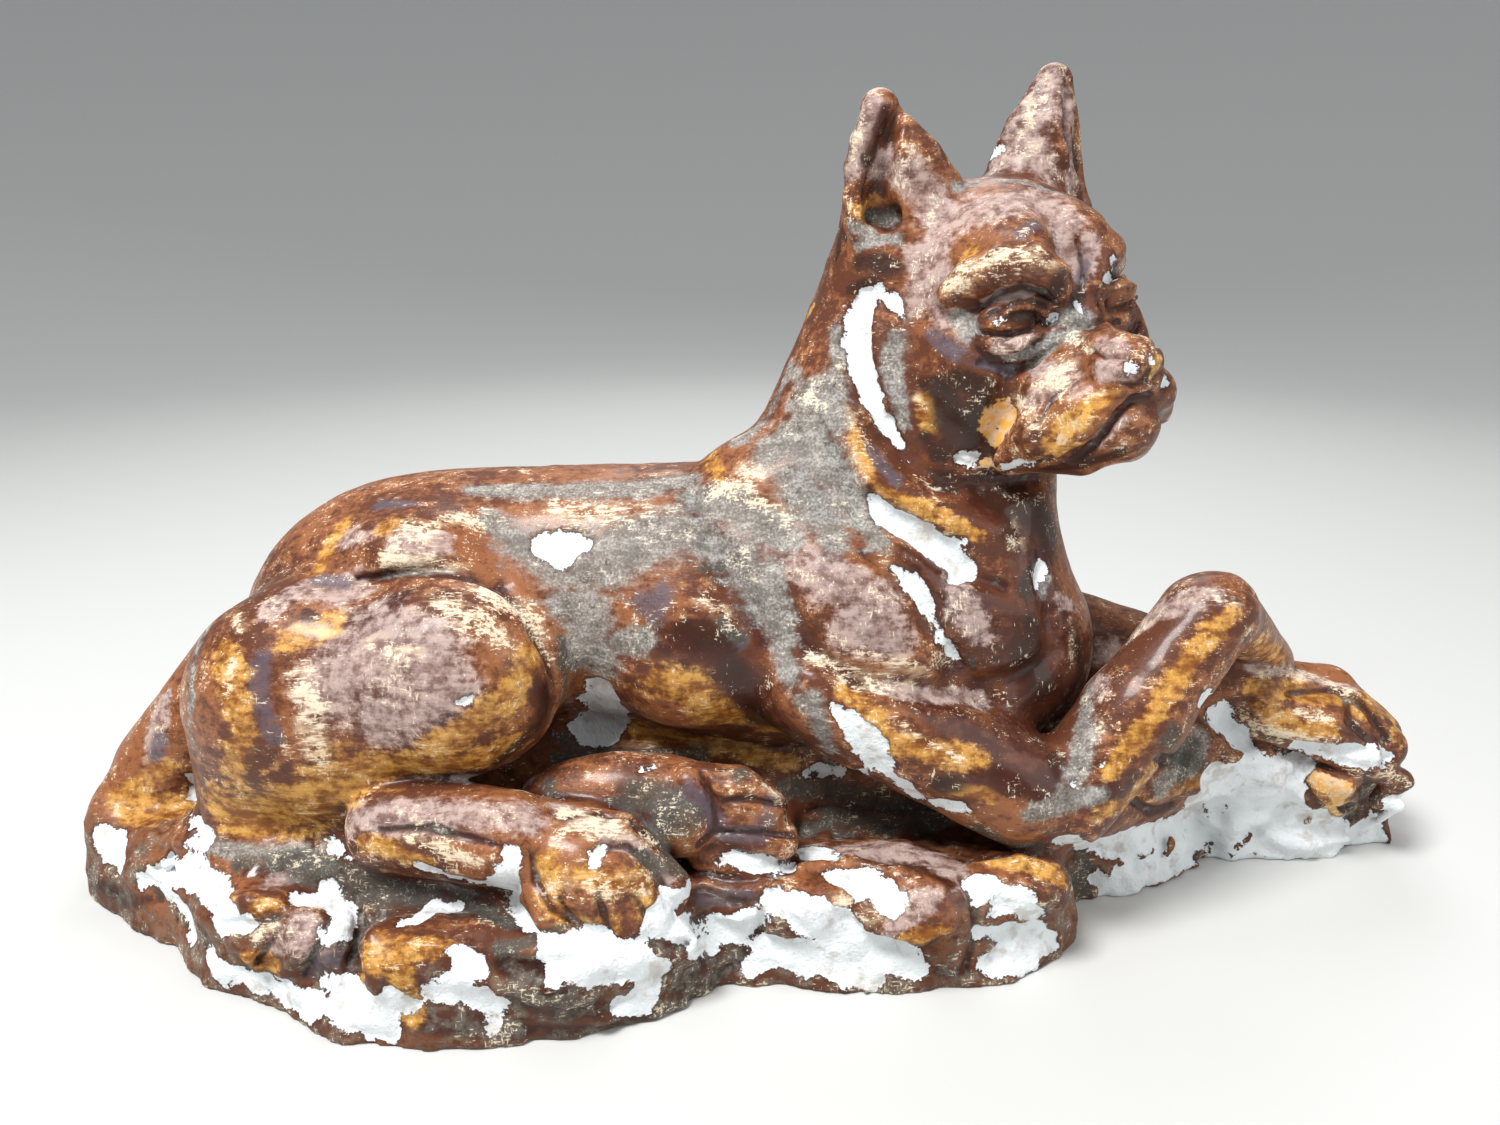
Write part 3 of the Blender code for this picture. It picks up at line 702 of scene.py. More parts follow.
print(len(PAW_GROOVES + STONE_GROOVES + STONE_RIDGES), "lines below the head")

# %% [markdown]
# Ridges are pressed on before grooves are cut, as with wet clay. Some ridges start a little below
# the surface, so that only their backs show.

# %% Drawing the lines
def other_half(places):
    """The places on the other half of the face."""
    return (np.array(places) - HEAD_ORIGIN) @ HEAD_SPIN * (1, -1, 1) @ HEAD_SPIN.T + HEAD_ORIGIN


for work, strokes, deeper, blend, on_the_face in (
    (clay.add, FACE_RIDGES, 0.6, 3, False),
    (clay.cut, FACE_GROOVES, 0, 1.2, True),
    (clay.add, EAR_RIDGES, 0.3, 3, False),
    (clay.cut, EAR_GROOVES, 0, 2, False),
    (clay.cut, PAW_GROOVES, 0, 1.2, False),
    (clay.add, STONE_RIDGES, 0, 2, False),
    (clay.cut, STONE_GROOVES, 0, 1.5, False),
):
    for stroke in strokes:
        places, radii = on_surface(stroke, deeper)
        chain(work, places, radii, blend)
        if on_the_face:
            chain(work, other_half(places), radii, blend)
print("fine lines drawn")

# %% [markdown]
# Where the statue was knocked, paint and skin have come off and bare plaster shows, a little lower
# than the paint. The spots are listed by pixel as well.

# %% Chips on the dog
CHIPS_ON_THE_DOG = (
    (
        (868, 298, 8), (860, 318, 12), (857, 345, 12), (862, 372, 11),
        (871, 398, 9), (884, 424, 7), (900, 444, 3),
    ),
    ((880, 288, 3), (893, 300, 5), (902, 314, 4)),
    (
        (868, 496, 4), (882, 510, 8), (902, 526, 11), (928, 543, 14),
        (952, 556, 14), (962, 570, 9), (952, 579, 4),
    ),
    ((895, 570, 4), (911, 582, 9), (924, 600, 7), (936, 624, 4), (950, 650, 2), (962, 666, 1)),
    ((1042, 566, 6), (1036, 579, 4)),
    ((545, 545, 11), (559, 549, 17), (573, 545, 11), (560, 560, 9)),
    ((588, 700, 12), (604, 692, 14), (612, 716, 16), (588, 726, 15), (606, 736, 10), (578, 730, 8)),
    ((838, 711, 4), (852, 726, 10), (868, 745, 13), (882, 764, 13), (898, 782, 9), (918, 797, 5)),
    ((805, 775, 2), (840, 770, 4), (868, 770, 5)),
    ((934, 803, 5), (952, 808, 5), (968, 812, 2)),
    ((1090, 780, 2), (1101, 766, 2)),
    ((1076, 786, 4), (1078, 788, 3)),
    ((1113, 262, 4), (1111, 272, 7), (1106, 280, 4)),
    ((997, 318, 4), (1000, 326, 3)),
    ((1046, 322, 3), (1053, 318, 3)),
    ((1077, 304, 3), (1082, 311, 2)),
    ((962, 460, 5), (974, 457, 5), (972, 466, 4)),
    ((1003, 468, 4), (1017, 465, 5), (1034, 463, 2)),
    ((1130, 362, 3), (1132, 371, 3)),
    ((1149, 356, 2), (1152, 363, 2)),
    ((1162, 386, 2), (1166, 380, 2)),
    ((192, 776, 3), (195, 795, 3), (200, 822, 5), (206, 838, 9), (192, 842, 4)),
    ((322, 836, 3), (334, 846, 5), (350, 858, 3)),
    ((597, 850, 5), (592, 862, 6), (604, 842, 3)),
    ((641, 771, 5), (655, 766, 6), (664, 763, 2)),
    ((722, 861, 8), (748, 862, 10), (774, 864, 8), (787, 866, 4)),
    ((418, 866, 4), (440, 874, 5), (466, 882, 6), (490, 886, 9), (508, 868, 12), (512, 855, 8)),
    ((514, 880, 10), (520, 905, 9), (532, 928, 8), (548, 938, 7)),
    ((452, 704, 3), (466, 702, 5), (476, 694, 4)),
    ((988, 153, 5), (998, 150, 4)),
)
print(len(CHIPS_ON_THE_DOG), "chips on the dog")

# %% [markdown]
# The ground lost more than the dog did, because it is what gets knocked when a statue is moved. The
# rock under the paws is bare almost all over, so there the few scraps of paint are listed too.

# %% Chips below the dog
CHIPS_ON_THE_GROUND = (
    ((100, 838, 8), (114, 848, 11), (119, 860, 7)),
    ((142, 880, 5), (165, 872, 8), (192, 874, 9), (214, 884, 10), (226, 892, 5)),
    ((168, 890, 7), (188, 914, 8), (190, 934, 7)),
    ((214, 896, 6), (226, 920, 8), (244, 926, 5)),
    (
        (208, 950, 3), (222, 975, 4), (258, 985, 5), (300, 1000, 7),
        (335, 1010, 10), (370, 1022, 9), (388, 1028, 6),
    ),
    ((330, 985, 8), (360, 998, 8), (395, 1003, 9), (408, 1008, 4)),
    ((305, 896, 7), (325, 892, 8), (344, 908, 7), (350, 925, 10), (330, 928, 9)),
    ((414, 920, 6), (436, 909, 8), (455, 905, 4)),
    (
        (458, 954, 8), (470, 968, 12), (452, 986, 12), (434, 992, 7),
        (480, 1000, 12), (500, 1004, 6), (490, 1026, 3),
    ),
    (
        (552, 950, 8), (578, 948, 12), (604, 952, 12), (634, 962, 12),
        (655, 974, 10), (642, 1000, 9), (625, 1006, 4),
    ),
    ((560, 972, 8), (590, 970, 12), (615, 975, 8)),
    ((690, 888, 5), (672, 900, 9), (660, 925, 9), (692, 930, 11), (728, 932, 12), (756, 920, 8)),
    ((700, 948, 7), (712, 945, 6)),
    (
        (772, 900, 8), (795, 912, 14), (824, 922, 17), (852, 940, 18),
        (880, 950, 18), (905, 962, 10), (918, 970, 4),
    ),
    ((748, 968, 4), (776, 950, 12), (802, 956, 16), (840, 964, 14), (872, 972, 9)),
    ((838, 878, 7), (860, 884, 12), (886, 890, 11), (896, 902, 6)),
    ((802, 852, 6), (820, 852, 9), (838, 858, 3)),
    ((968, 880, 5), (984, 886, 9), (982, 896, 6)),
    ((1000, 906, 9), (1022, 898, 7), (1030, 915, 8)),
    ((982, 934, 5), (1004, 932, 12), (1030, 940, 15), (1050, 944, 8), (996, 960, 11), (1030, 962, 9)),
)
CHIPS_ON_THE_ROCK = (
    ((1206, 700, 6), (1220, 718, 9), (1236, 736, 7), (1248, 746, 4)),
    ((1302, 746, 5), (1330, 750, 6), (1368, 756, 6), (1388, 758, 4)),
    ((1070, 842, 6), (1090, 846, 9), (1115, 843, 11), (1140, 838, 12), (1165, 832, 13), (1190, 828, 15)),
    ((1130, 862, 9), (1118, 880, 7), (1106, 892, 5), (1150, 880, 4), (1190, 852, 10)),
    ((1205, 800, 14), (1236, 806, 22), (1266, 808, 26), (1292, 826, 24), (1324, 838, 17), (1352, 838, 14)),
    ((1200, 832, 14), (1240, 840, 14), (1285, 846, 14), (1322, 850, 10)),
    ((1215, 778, 12), (1250, 788, 16), (1285, 796, 16)),
    ((1188, 822, 9), (1160, 828, 8)),
    ((1130, 846, 8), (1160, 838, 10), (1190, 812, 8)),
    ((1150, 842, 10), (1185, 850, 12), (1100, 880, 6)),
    ((1338, 850, 11), (1368, 840, 13), (1394, 822, 10)),
    ((1215, 864, 7), (1270, 868, 8), (1325, 862, 8)),
    ((1222, 776, 12), (1252, 768, 12), (1284, 770, 12), (1300, 764, 6)),
    ((1352, 838, 14), (1378, 822, 12), (1396, 806, 8), (1408, 796, 4)),
)
PAINT_LEFT_ON_THE_ROCK = (
    ((1313, 775, 6), (1330, 782, 13), (1344, 792, 9)),
    ((1310, 820, 4), (1330, 822, 5)),
    ((1120, 860, 4), (1124, 872, 3)),
    ((1154, 852, 4), (1150, 870, 3)),
    ((1222, 815, 3), (1226, 806, 3)),
    ((1250, 838, 5), (1240, 846, 4)),
    ((1098, 858, 5), (1108, 872, 5)),
    ((1172, 840, 3), (1168, 852, 4)),
    ((1212, 842, 3), (1206, 852, 3)),
)
CHIPS_BELOW = CHIPS_ON_THE_GROUND + CHIPS_ON_THE_ROCK
print(len(CHIPS_BELOW), "chips below the dog")

# %% [markdown]
# The chips are a second lump of clay, laid over the first: inside it, the paint is gone. Its surface
# is made ragged with random bumps, and then the statue is pressed in by the thickness of the skin
# wherever the two overlap. The hidden sides of the slab get chips too, by chance and fewer of them.

# %% Laying the chips bare
RAGGED = ((6.0, 1.4, 21), (2.9, 1.1, 22), (1.9, 0.6, 23))
CALM_ON_THE_HEAD, CALM_FROM, CALM_FADE = 0.35, 24, 40
GROWN = 0.4
GROWN_BELOW = 1.2
SKIN = 0.8
EDGE = 0.8

bare = Clay()
for stroke in CHIPS_BELOW:
    chain(bare.add, *on_surface(stroke), 1)
bare.field -= GROWN_BELOW
for stroke in PAINT_LEFT_ON_THE_ROCK:
    chain(bare.cut, *on_surface(stroke), 1)
for stroke in CHIPS_ON_THE_DOG:
    chain(bare.add, *on_surface(stroke), 1)
x, y, z = np.ix_(*bare.axes)
from_the_head = np.sqrt(sum((p - o) ** 2 for p, o in zip((x, y, z), HEAD_ORIGIN)))
raggedness = np.clip((from_the_head - CALM_FROM) / CALM_FADE, CALM_ON_THE_HEAD, 1)
for size, height, seed in RAGGED:
    bare.field += height * raggedness * bumps(bare.axes, size, seed)

BACK_FROM, ABOVE_THE_SLAB, FEW = 38, 4, 14
by_chance = 26 * bumps(bare.axes, 26, 31) + 12 * bumps(bare.axes, 9, 32) + FEW
by_chance += 3 * np.maximum(BACK_FROM - y, 0) + 4 * np.maximum(z - ABOVE_THE_SLAB, 0)
bare.field = np.minimum(bare.field, by_chance.astype(np.float32))
bare.field -= GROWN
clay.field += SKIN * np.clip(0.5 - bare.field / EDGE, 0, 1)
print("chips cover", int((np.abs(clay.field) + np.maximum(bare.field, 0) < 1).sum()), "grid points")

# %% [markdown]
# A little unevenness all over tells the eye that a hand smoothed this, not a machine. Bare plaster is
# rougher than painted skin, so its share of the bumps is larger.

# %% The hand's unevenness
HAND = ((9.0, 0.25, 41), (4.0, 0.16, 42))
ROUGH_PLASTER = ((3.0, 0.35, 43), (1.8, 0.2, 44))
BROKEN_STONE, BROKEN_BELOW, BROKEN_FADE = (6.5, 1.1, 45), 24, 6

for size, height, seed in HAND:
    clay.field += height * bumps(clay.axes, size, seed)
inside_a_chip = np.clip(0.5 - bare.field, 0, 1)
for size, height, seed in ROUGH_PLASTER:
    clay.field += height * inside_a_chip * bumps(clay.axes, size, seed)
low_down = np.clip((BROKEN_BELOW - z) / BROKEN_FADE, 0, 1)
size, height, seed = BROKEN_STONE
clay.field += height * inside_a_chip * low_down * bumps(clay.axes, size, seed)
clay.field = np.maximum(clay.field, -GROUND - z)
print("surface roughened, and the underside cut flat")

# %% [markdown]
# Now the clay becomes a mesh. Every grid cell that the surface crosses gets one point, and points of
# neighbouring cells make four-sided faces. That gives far too many faces, so a Decimate modifier
# collapses them where the surface is flat and keeps them where it is carved.

# %% From clay to faces
def surface(clay):
    """The zero surface of the clay as points and four-sided faces, one point in each grid cell
    that the surface crosses, at the middle of its crossings."""
    field = clay.field
    inside = field < 0
    corners = list(itertools.product((0, 1), repeat=3))
    full = sum(
        inside[tuple(slice(c, n - 1 + c) for c, n in zip(corner, field.shape))].astype(np.int8)
        for corner in corners
    )
    cells = np.argwhere((full > 0) & (full < len(corners)))
    number = np.full(full.shape, -1, np.int64)
    number[tuple(cells.T)] = np.arange(len(cells))
    total, count = np.zeros((len(cells), 3)), np.zeros((len(cells), 1))
    faces = []
    for axis in range(3):
        unit = np.eye(3, dtype=int)[axis]
        for corner in corners:
            if corner[axis]:
                continue
            low = cells + corner
            before, after = field[tuple(low.T)], field[tuple((low + unit).T)]
            crossed = (before < 0) != (after < 0)
            share = before[crossed] / (before[crossed] - after[crossed])
            total[crossed] += corner + share[:, None] * unit
            count[crossed] += 1
        head = [slice(None)] * 3
        tail = [slice(None)] * 3
        head[axis], tail[axis] = slice(0, -1), slice(1, None)
        edges = np.argwhere(inside[tuple(head)] != inside[tuple(tail)])
        first, second = [np.eye(3, dtype=int)[(axis + n) % 3] for n in (1, 2)]
        ring = [number[tuple((edges - way).T)] for way in (first + second, second, 0 * first, first)]
        ring = np.stack(ring, axis=1)
        outward = inside[tuple(edges.T)]
        faces += [ring[outward], ring[~outward][:, ::-1]]
    place = cells + total / count
    points = [np.interp(place[:, n], np.arange(len(a)), a) for n, a in enumerate(clay.axes)]
    points = np.stack(points, axis=1)
    return points, np.concatenate(faces)


def largest_piece(points, faces):
    """The mesh without the crumbs that the random bumps broke off."""
    piece = np.arange(len(points))
    before, after = faces.ravel(), np.roll(faces, 1, axis=1).ravel()
    while (piece[before] != piece[after]).any():
        lower = np.minimum(piece[before], piece[after])
        np.minimum.at(piece, before, lower)
        np.minimum.at(piece, after, lower)
        piece = piece[piece]
    kept = piece == np.bincount(piece).argmax()
    number = np.cumsum(kept) - 1
    return points[kept], number[faces[kept[faces[:, 0]]]]


points, faces = largest_piece(*surface(clay))
print("dense mesh:", len(faces), "faces")

# %% [markdown]
# The dense mesh goes on a helper object that carries the Decimate modifier. What the modifier makes
# of it becomes the statue's own mesh, and the helper is thrown away.

# %% The statue's mesh
TRIANGLES = 190000
dense = bpy.data.meshes.new("dense")
dense.from_pydata(in_metres(points).tolist(), [], faces.tolist())
rough_cast = bpy.data.objects.new("rough_cast", dense)
bpy.context.collection.objects.link(rough_cast)
thin_out = rough_cast.modifiers.new("thin_out", "DECIMATE")
thin_out.ratio = TRIANGLES / (2 * len(faces))
seen = rough_cast.evaluated_get(bpy.context.evaluated_depsgraph_get())
skin = bpy.data.meshes.new_from_object(seen)
skin.name = "statue"
skin.shade_smooth()
bpy.data.objects.remove(rough_cast)
statue = bpy.data.objects.new("statue", skin)
bpy.context.collection.objects.link(statue)
print("statue:", len(skin.vertices), "points,", len(skin.polygons), "triangles")

# %% [markdown]
# The paint needs to know things about every point of the skin: how far it is from a chip, how deep it
# lies in a hollow, and which colour was brushed there. We work each out once and store it on the mesh
# as an attribute, a number for each point, which the material can read.

# %% Facts for the painter
vertices = np.empty(3 * len(skin.vertices), np.float32)
skin.vertices.foreach_get("co", vertices)
vertices = vertices.reshape(-1, 3) / SHARE + MIDDLE
normals = np.empty(vertices.size, np.float32)
skin.vertices.foreach_get("normal", normals)
normals = normals.reshape(-1, 3)


def store(name, numbers):
    skin.attributes.new(name, "FLOAT", "POINT").data.foreach_set("value", np.asarray(numbers, np.float32))


def sunk(reach):
    """How much clay there is at a distance all round each point: 0 on flat skin, more in a hollow,
    less on a ridge."""
    ways = [np.array(way) for way in itertools.product((-1, 0, 1), repeat=3) if any(way)]
    ways = [way / np.linalg.norm(way) for way in ways]
    return -sum(clay.read(vertices + reach * way) for way in ways) / len(ways) / reach


CREASE_REACH, HOLLOW_REACH = 2.5, 9
crease, hollow = sunk(CREASE_REACH), sunk(HOLLOW_REACH)
store("crease", crease)
store("hollow", hollow)
store("bare", bare.read(vertices))
for name, numbers in (("crease", crease), ("hollow", hollow)):
    print(name, "is mostly between", np.round(np.percentile(numbers, (5, 50, 95)), 2))

# %% [markdown]
# The finish is a mahogany glaze, brushed over with gold, mauve and brown, and dust lies where nobody
# wiped. Each colour was put on with a brush, so we put it on with strokes too, again by pixel. A
# stroke is at full strength along its middle and fades out at its radius.

# %% Golds, and creams that are partly painted highlight
OCHRE = (
    (
        (215, 800, 16), (250, 815, 30), (300, 805, 32), (345, 775, 26),
        (400, 765, 16), (460, 762, 16), (515, 745, 18),
    ),
    ((440, 745, 16), (480, 720, 18), (515, 690, 16), (530, 655, 12)),
    ((225, 650, 14), (232, 680, 16), (245, 730, 12), (232, 770, 14)),
    ((345, 525, 8), (330, 550, 9), (318, 570, 7)),
    ((385, 528, 9), (400, 522, 6)),
    ((290, 640, 12), (330, 625, 12)),
    ((128, 800, 16), (150, 815, 18), (180, 810, 14)),
    ((150, 770, 10), (170, 770, 8)),
    ((365, 842, 9), (390, 850, 9), (430, 862, 7)),
    ((545, 860, 12), (548, 890, 14), (570, 915, 14), (610, 925, 10)),
    ((590, 880, 14), (640, 880, 16), (650, 910, 10)),
    ((370, 965, 12), (378, 935, 8), (400, 945, 12), (445, 948, 8), (352, 985, 6)),
    ((395, 1000, 12), (415, 1015, 10), (400, 960, 14)),
    ((232, 905, 7), (255, 908, 7), (278, 905, 4)),
    ((250, 960, 10), (275, 965, 10)),
    ((655, 680, 14), (690, 690, 18), (720, 715, 16), (770, 728, 12)),
    ((640, 730, 14), (690, 740, 12), (790, 760, 8)),
    ((842, 690, 7), (872, 712, 10), (890, 745, 10), (930, 752, 12), (975, 758, 12)),
    ((955, 790, 8), (990, 795, 8)),
    ((702, 440, 9), (712, 462, 9), (722, 478, 6)),
    (
        (845, 405, 5), (852, 432, 6), (862, 465, 6), (880, 490, 6),
        (910, 503, 7), (945, 518, 8), (975, 535, 8),
    ),
    ((790, 350, 6), (798, 330, 6), (812, 310, 5)),
    ((1050, 445, 10), (1070, 425, 10), (1092, 408, 9), (1112, 392, 6)),
    ((1060, 452, 6), (1080, 445, 6)),
    ((925, 400, 10), (930, 420, 10)),
    ((960, 262, 8), (975, 250, 6)),
    ((855, 208, 6), (862, 218, 6), (875, 200, 6)),
    ((1110, 770, 8), (1140, 735, 10), (1165, 700, 10), (1190, 660, 10), (1215, 628, 10), (1232, 615, 8)),
    ((1100, 810, 8), (1130, 800, 8), (1150, 770, 8)),
    ((1255, 690, 10), (1290, 688, 12), (1330, 698, 12), (1362, 708, 12), (1385, 700, 12), (1398, 735, 8)),
    ((1270, 712, 10), (1300, 730, 8), (1330, 728, 8)),
    ((1280, 660, 8), (1262, 640, 8)),
    ((985, 862, 7), (1015, 862, 8), (1045, 872, 9), (1060, 880, 8)),
    ((1140, 800, 8), (1165, 790, 8), (1198, 782, 8)),
    ((905, 940, 8), (925, 935, 8), (945, 930, 6)),
    ((1325, 785, 10), (1330, 822, 5), (1350, 795, 6)),
    ((1150, 372, 6), (1160, 362, 6)),
)
# Cream strokes: pale wear in part, and in part painted highlight where the top of the thigh, the hip, the
# breast and the brow catch the light.
CREAM_AND_HIGHLIGHT = (
    ((480, 590, 16), (505, 605, 20), (530, 625, 18), (545, 650, 12)),
    ((440, 600, 16), (470, 615, 14), (500, 640, 12)),
    ((405, 527, 12), (425, 535, 10), (440, 520, 8), (455, 517, 8), (480, 525, 6)),
    ((390, 560, 12), (430, 562, 10), (460, 566, 6)),
    ((375, 645, 12), (392, 655, 12), (415, 650, 10)),
    ((300, 680, 14), (310, 710, 14), (320, 760, 12)),
    ((228, 690, 8), (235, 660, 6)),
    ((238, 620, 8), (242, 632, 6)),
    ((560, 510, 14), (600, 515, 14), (645, 510, 10)),
    ((720, 490, 12), (745, 495, 12), (775, 515, 10), (792, 525, 6)),
    ((765, 475, 8), (740, 470, 8)),
    ((830, 410, 8), (810, 400, 8), (792, 395, 6)),
    ((698, 598, 6), (718, 605, 7), (728, 618, 5)),
    ((880, 560, 6), (896, 572, 6), (930, 620, 5)),
    ((808, 655, 8), (845, 675, 12), (885, 685, 12), (920, 675, 8)),
    ((860, 650, 6), (910, 665, 8), (950, 660, 6)),
    ((890, 720, 6), (930, 742, 6), (960, 760, 6)),
    ((1010, 540, 8), (1020, 548, 6), (1015, 525, 5)),
    ((1070, 620, 5), (1072, 650, 5)),
    ((1050, 725, 4), (1060, 755, 4)),
    ((950, 282, 12), (972, 266, 13), (1000, 260, 15), (1030, 256, 14), (1052, 264, 8)),
    ((985, 258, 10), (1020, 262, 10)),
    ((915, 395, 6), (925, 408, 6)),
    ((1020, 400, 8), (1040, 415, 10), (1035, 435, 8)),
    ((1040, 385, 10), (1070, 372, 10), (1062, 395, 8)),
    ((1075, 335, 8), (1090, 350, 6)),
    ((1095, 395, 5), (1120, 385, 4)),
    ((1000, 150, 8), (1030, 150, 8)),
    ((1045, 80, 6), (1035, 110, 8), (1020, 135, 8)),
    ((868, 105, 5), (858, 135, 5), (850, 165, 4)),
    ((380, 785, 4), (368, 800, 5), (345, 815, 4)),
    ((410, 838, 6), (440, 850, 6), (480, 862, 6)),
    ((590, 810, 8), (620, 830, 10), (560, 835, 8)),
    ((545, 890, 8), (600, 890, 14), (650, 880, 12)),
    ((560, 815, 10), (610, 820, 12), (650, 840, 10)),
    ((1130, 640, 5), (1160, 615, 5), (1210, 598, 6), (1238, 604, 5)),
    ((1240, 640, 4), (1250, 628, 4)),
    ((1240, 715, 10), (1270, 735, 10), (1330, 742, 6)),
    ((1262, 670, 8), (1310, 676, 9), (1350, 690, 8)),
    ((1300, 712, 6), (1330, 722, 6)),
    ((720, 770, 6), (770, 790, 5), (785, 820, 5)),
    ((1350, 770, 8), (1395, 770, 6), (1408, 785, 5)),
    ((315, 985, 6), (275, 925, 6), (255, 935, 6)),
    ((1085, 700, 8), (1100, 730, 6)),
    ((1030, 905, 10), (1005, 890, 8)),
    ((840, 900, 8), (870, 915, 8), (905, 905, 8)),
)
print(len(OCHRE), "golden strokes and", len(CREAM_AND_HIGHLIGHT), "cream ones")

# %% [markdown]
# On the flat of the thigh, the breast and the forehead, the glaze has turned to a dull mauve. Here
# and there a darker violet was dabbed on.

# %% Mauves and violets
MAUVE = (
    ((330, 690, 30), (380, 640, 36), (430, 660, 34), (450, 690, 26), (380, 720, 24)),
    ((350, 590, 20), (300, 590, 14), (270, 610, 12)),
    ((400, 548, 14), (440, 545, 12), (340, 540, 12)),
    ((350, 820, 14), (400, 815, 16), (460, 815, 16), (530, 820, 16)),
    ((460, 780, 8), (530, 780, 8)),
    ((155, 740, 12), (165, 700, 10), (150, 770, 8)),
    ((800, 570, 16), (830, 580, 24), (870, 600, 24), (895, 640, 18), (850, 630, 20)),
    ((940, 560, 8), (960, 600, 14), (980, 630, 12)),
    ((1060, 600, 8), (1072, 606, 6)),
    ((880, 690, 8), (930, 696, 8), (980, 700, 8)),
    ((930, 210, 16), (960, 215, 22), (1000, 205, 24), (1040, 205, 20), (1070, 225, 14)),
    ((920, 260, 16), (945, 320, 12), (940, 240, 14), (915, 300, 12)),
    ((1065, 250, 12), (1085, 270, 10), (1090, 240, 10)),
    ((870, 105, 14), (862, 135, 14), (850, 170, 10), (880, 160, 14), (915, 180, 16), (935, 190, 12)),
    ((1050, 75, 12), (1040, 110, 18), (1020, 140, 18), (1040, 165, 16), (1000, 160, 10)),
    ((1065, 100, 10), (1070, 150, 10), (1072, 185, 8)),
    ((1000, 290, 8), (1030, 290, 8), (985, 300, 6)),
    ((1000, 345, 8), (1030, 340, 8)),
    ((1040, 370, 12), (1070, 385, 12), (1030, 400, 10)),
    ((1105, 345, 10), (1120, 350, 10), (1100, 370, 10), (1130, 375, 8)),
    ((1120, 420, 8), (1100, 440, 8)),
    ((1095, 690, 12), (1110, 650, 14), (1140, 625, 14), (1175, 605, 14), (1215, 595, 10)),
    ((1085, 740, 10), (1080, 770, 8)),
    ((800, 850, 10), (845, 850, 18), (890, 850, 18), (935, 855, 16), (960, 880, 12)),
    ((560, 810, 12), (600, 825, 12), (640, 860, 12), (665, 880, 8)),
    ((270, 885, 10), (300, 870, 8)),
    ((280, 940, 12), (330, 950, 14), (300, 920, 10)),
    ((780, 650, 10), (790, 680, 8)),
    ((1255, 665, 8), (1300, 675, 10), (1350, 690, 8)),
    ((905, 905, 12), (930, 900, 12), (890, 930, 8)),
)
PURPLE = (
    ((262, 660, 10), (258, 690, 13), (265, 715, 11), (275, 740, 8)),
    ((160, 740, 8), (155, 760, 8)),
    ((640, 600, 10), (655, 605, 15), (665, 590, 10)),
    ((820, 500, 10), (800, 480, 12), (830, 520, 8)),
    ((730, 665, 8), (740, 640, 8)),
    ((320, 580, 9), (345, 585, 8)),
    ((380, 505, 10), (410, 505, 8)),
    ((932, 335, 7), (950, 350, 9), (980, 366, 8), (1010, 368, 6)),
    ((700, 800, 12), (720, 830, 10), (760, 835, 10), (770, 800, 8)),
    ((665, 810, 14), (690, 790, 10), (650, 830, 10)),
    ((1035, 225, 8), (1020, 235, 6)),
    ((1085, 265, 6), (1080, 280, 5)),
    ((880, 465, 8), (895, 480, 8), (870, 450, 6)),
    ((330, 960, 12), (310, 970, 10)),
    ((700, 900, 8), (730, 898, 8), (750, 895, 6)),
)
print(len(MAUVE), "mauve strokes and", len(PURPLE), "violet ones")

# %% [markdown]
# Dust has settled along the back and the neck and in every fold. Low down, under the belly and the chest and
# against the rock, a dark grey is laid on that is partly grime and partly painted shade.

# %% Dust, and grime with painted shade
DUST = (
    ((470, 490, 8), (520, 492, 12), (580, 490, 14), (640, 490, 14), (690, 480, 12)),
    ((490, 520, 10), (520, 545, 18), (560, 560, 28), (600, 560, 34), (640, 540, 30), (680, 530, 26)),
    ((560, 600, 16), (590, 620, 26), (600, 660, 18), (565, 650, 12), (640, 640, 14)),
    ((700, 540, 22), (740, 560, 20), (760, 600, 18), (780, 630, 14), (790, 680, 10)),
    ((690, 500, 14), (740, 510, 20), (790, 540, 16)),
    ((770, 450, 18), (800, 430, 22), (820, 460, 24), (840, 490, 20), (860, 520, 16), (880, 545, 10)),
    ((790, 480, 16), (815, 510, 20), (835, 540, 16)),
    ((800, 400, 14), (830, 385, 14), (835, 420, 16), (790, 370, 8), (740, 440, 12)),
    ((895, 340, 10), (890, 370, 10), (900, 400, 8), (905, 425, 6)),
    ((840, 360, 8), (835, 330, 6)),
    ((955, 188, 5), (985, 180, 6), (1020, 182, 7), (1055, 192, 5)),
    ((960, 320, 9), (975, 325, 8), (968, 338, 8)),
    ((1060, 320, 8), (1085, 318, 10), (1070, 335, 8)),
    ((1010, 355, 6), (1040, 352, 6), (1055, 340, 8)),
    ((870, 235, 8), (850, 225, 6), (900, 240, 6)),
    ((1088, 690, 8), (1085, 730, 10), (1082, 760, 10), (1070, 790, 10)),
    ((1060, 800, 12), (1100, 795, 8), (1030, 815, 8)),
    ((1160, 790, 10), (1180, 760, 10), (1200, 740, 10), (1190, 770, 10)),
    ((812, 700, 10), (822, 730, 10), (830, 750, 8)),
    ((1040, 595, 6), (1045, 580, 6)),
    ((195, 840, 8), (230, 850, 9), (280, 855, 10), (330, 868, 10)),
    ((830, 760, 6), (800, 700, 8)),
    ((205, 610, 8), (198, 650, 8), (192, 700, 7), (195, 750, 5)),
    ((880, 240, 6), (860, 245, 6)),
    ((780, 600, 12), (770, 570, 12)),
)
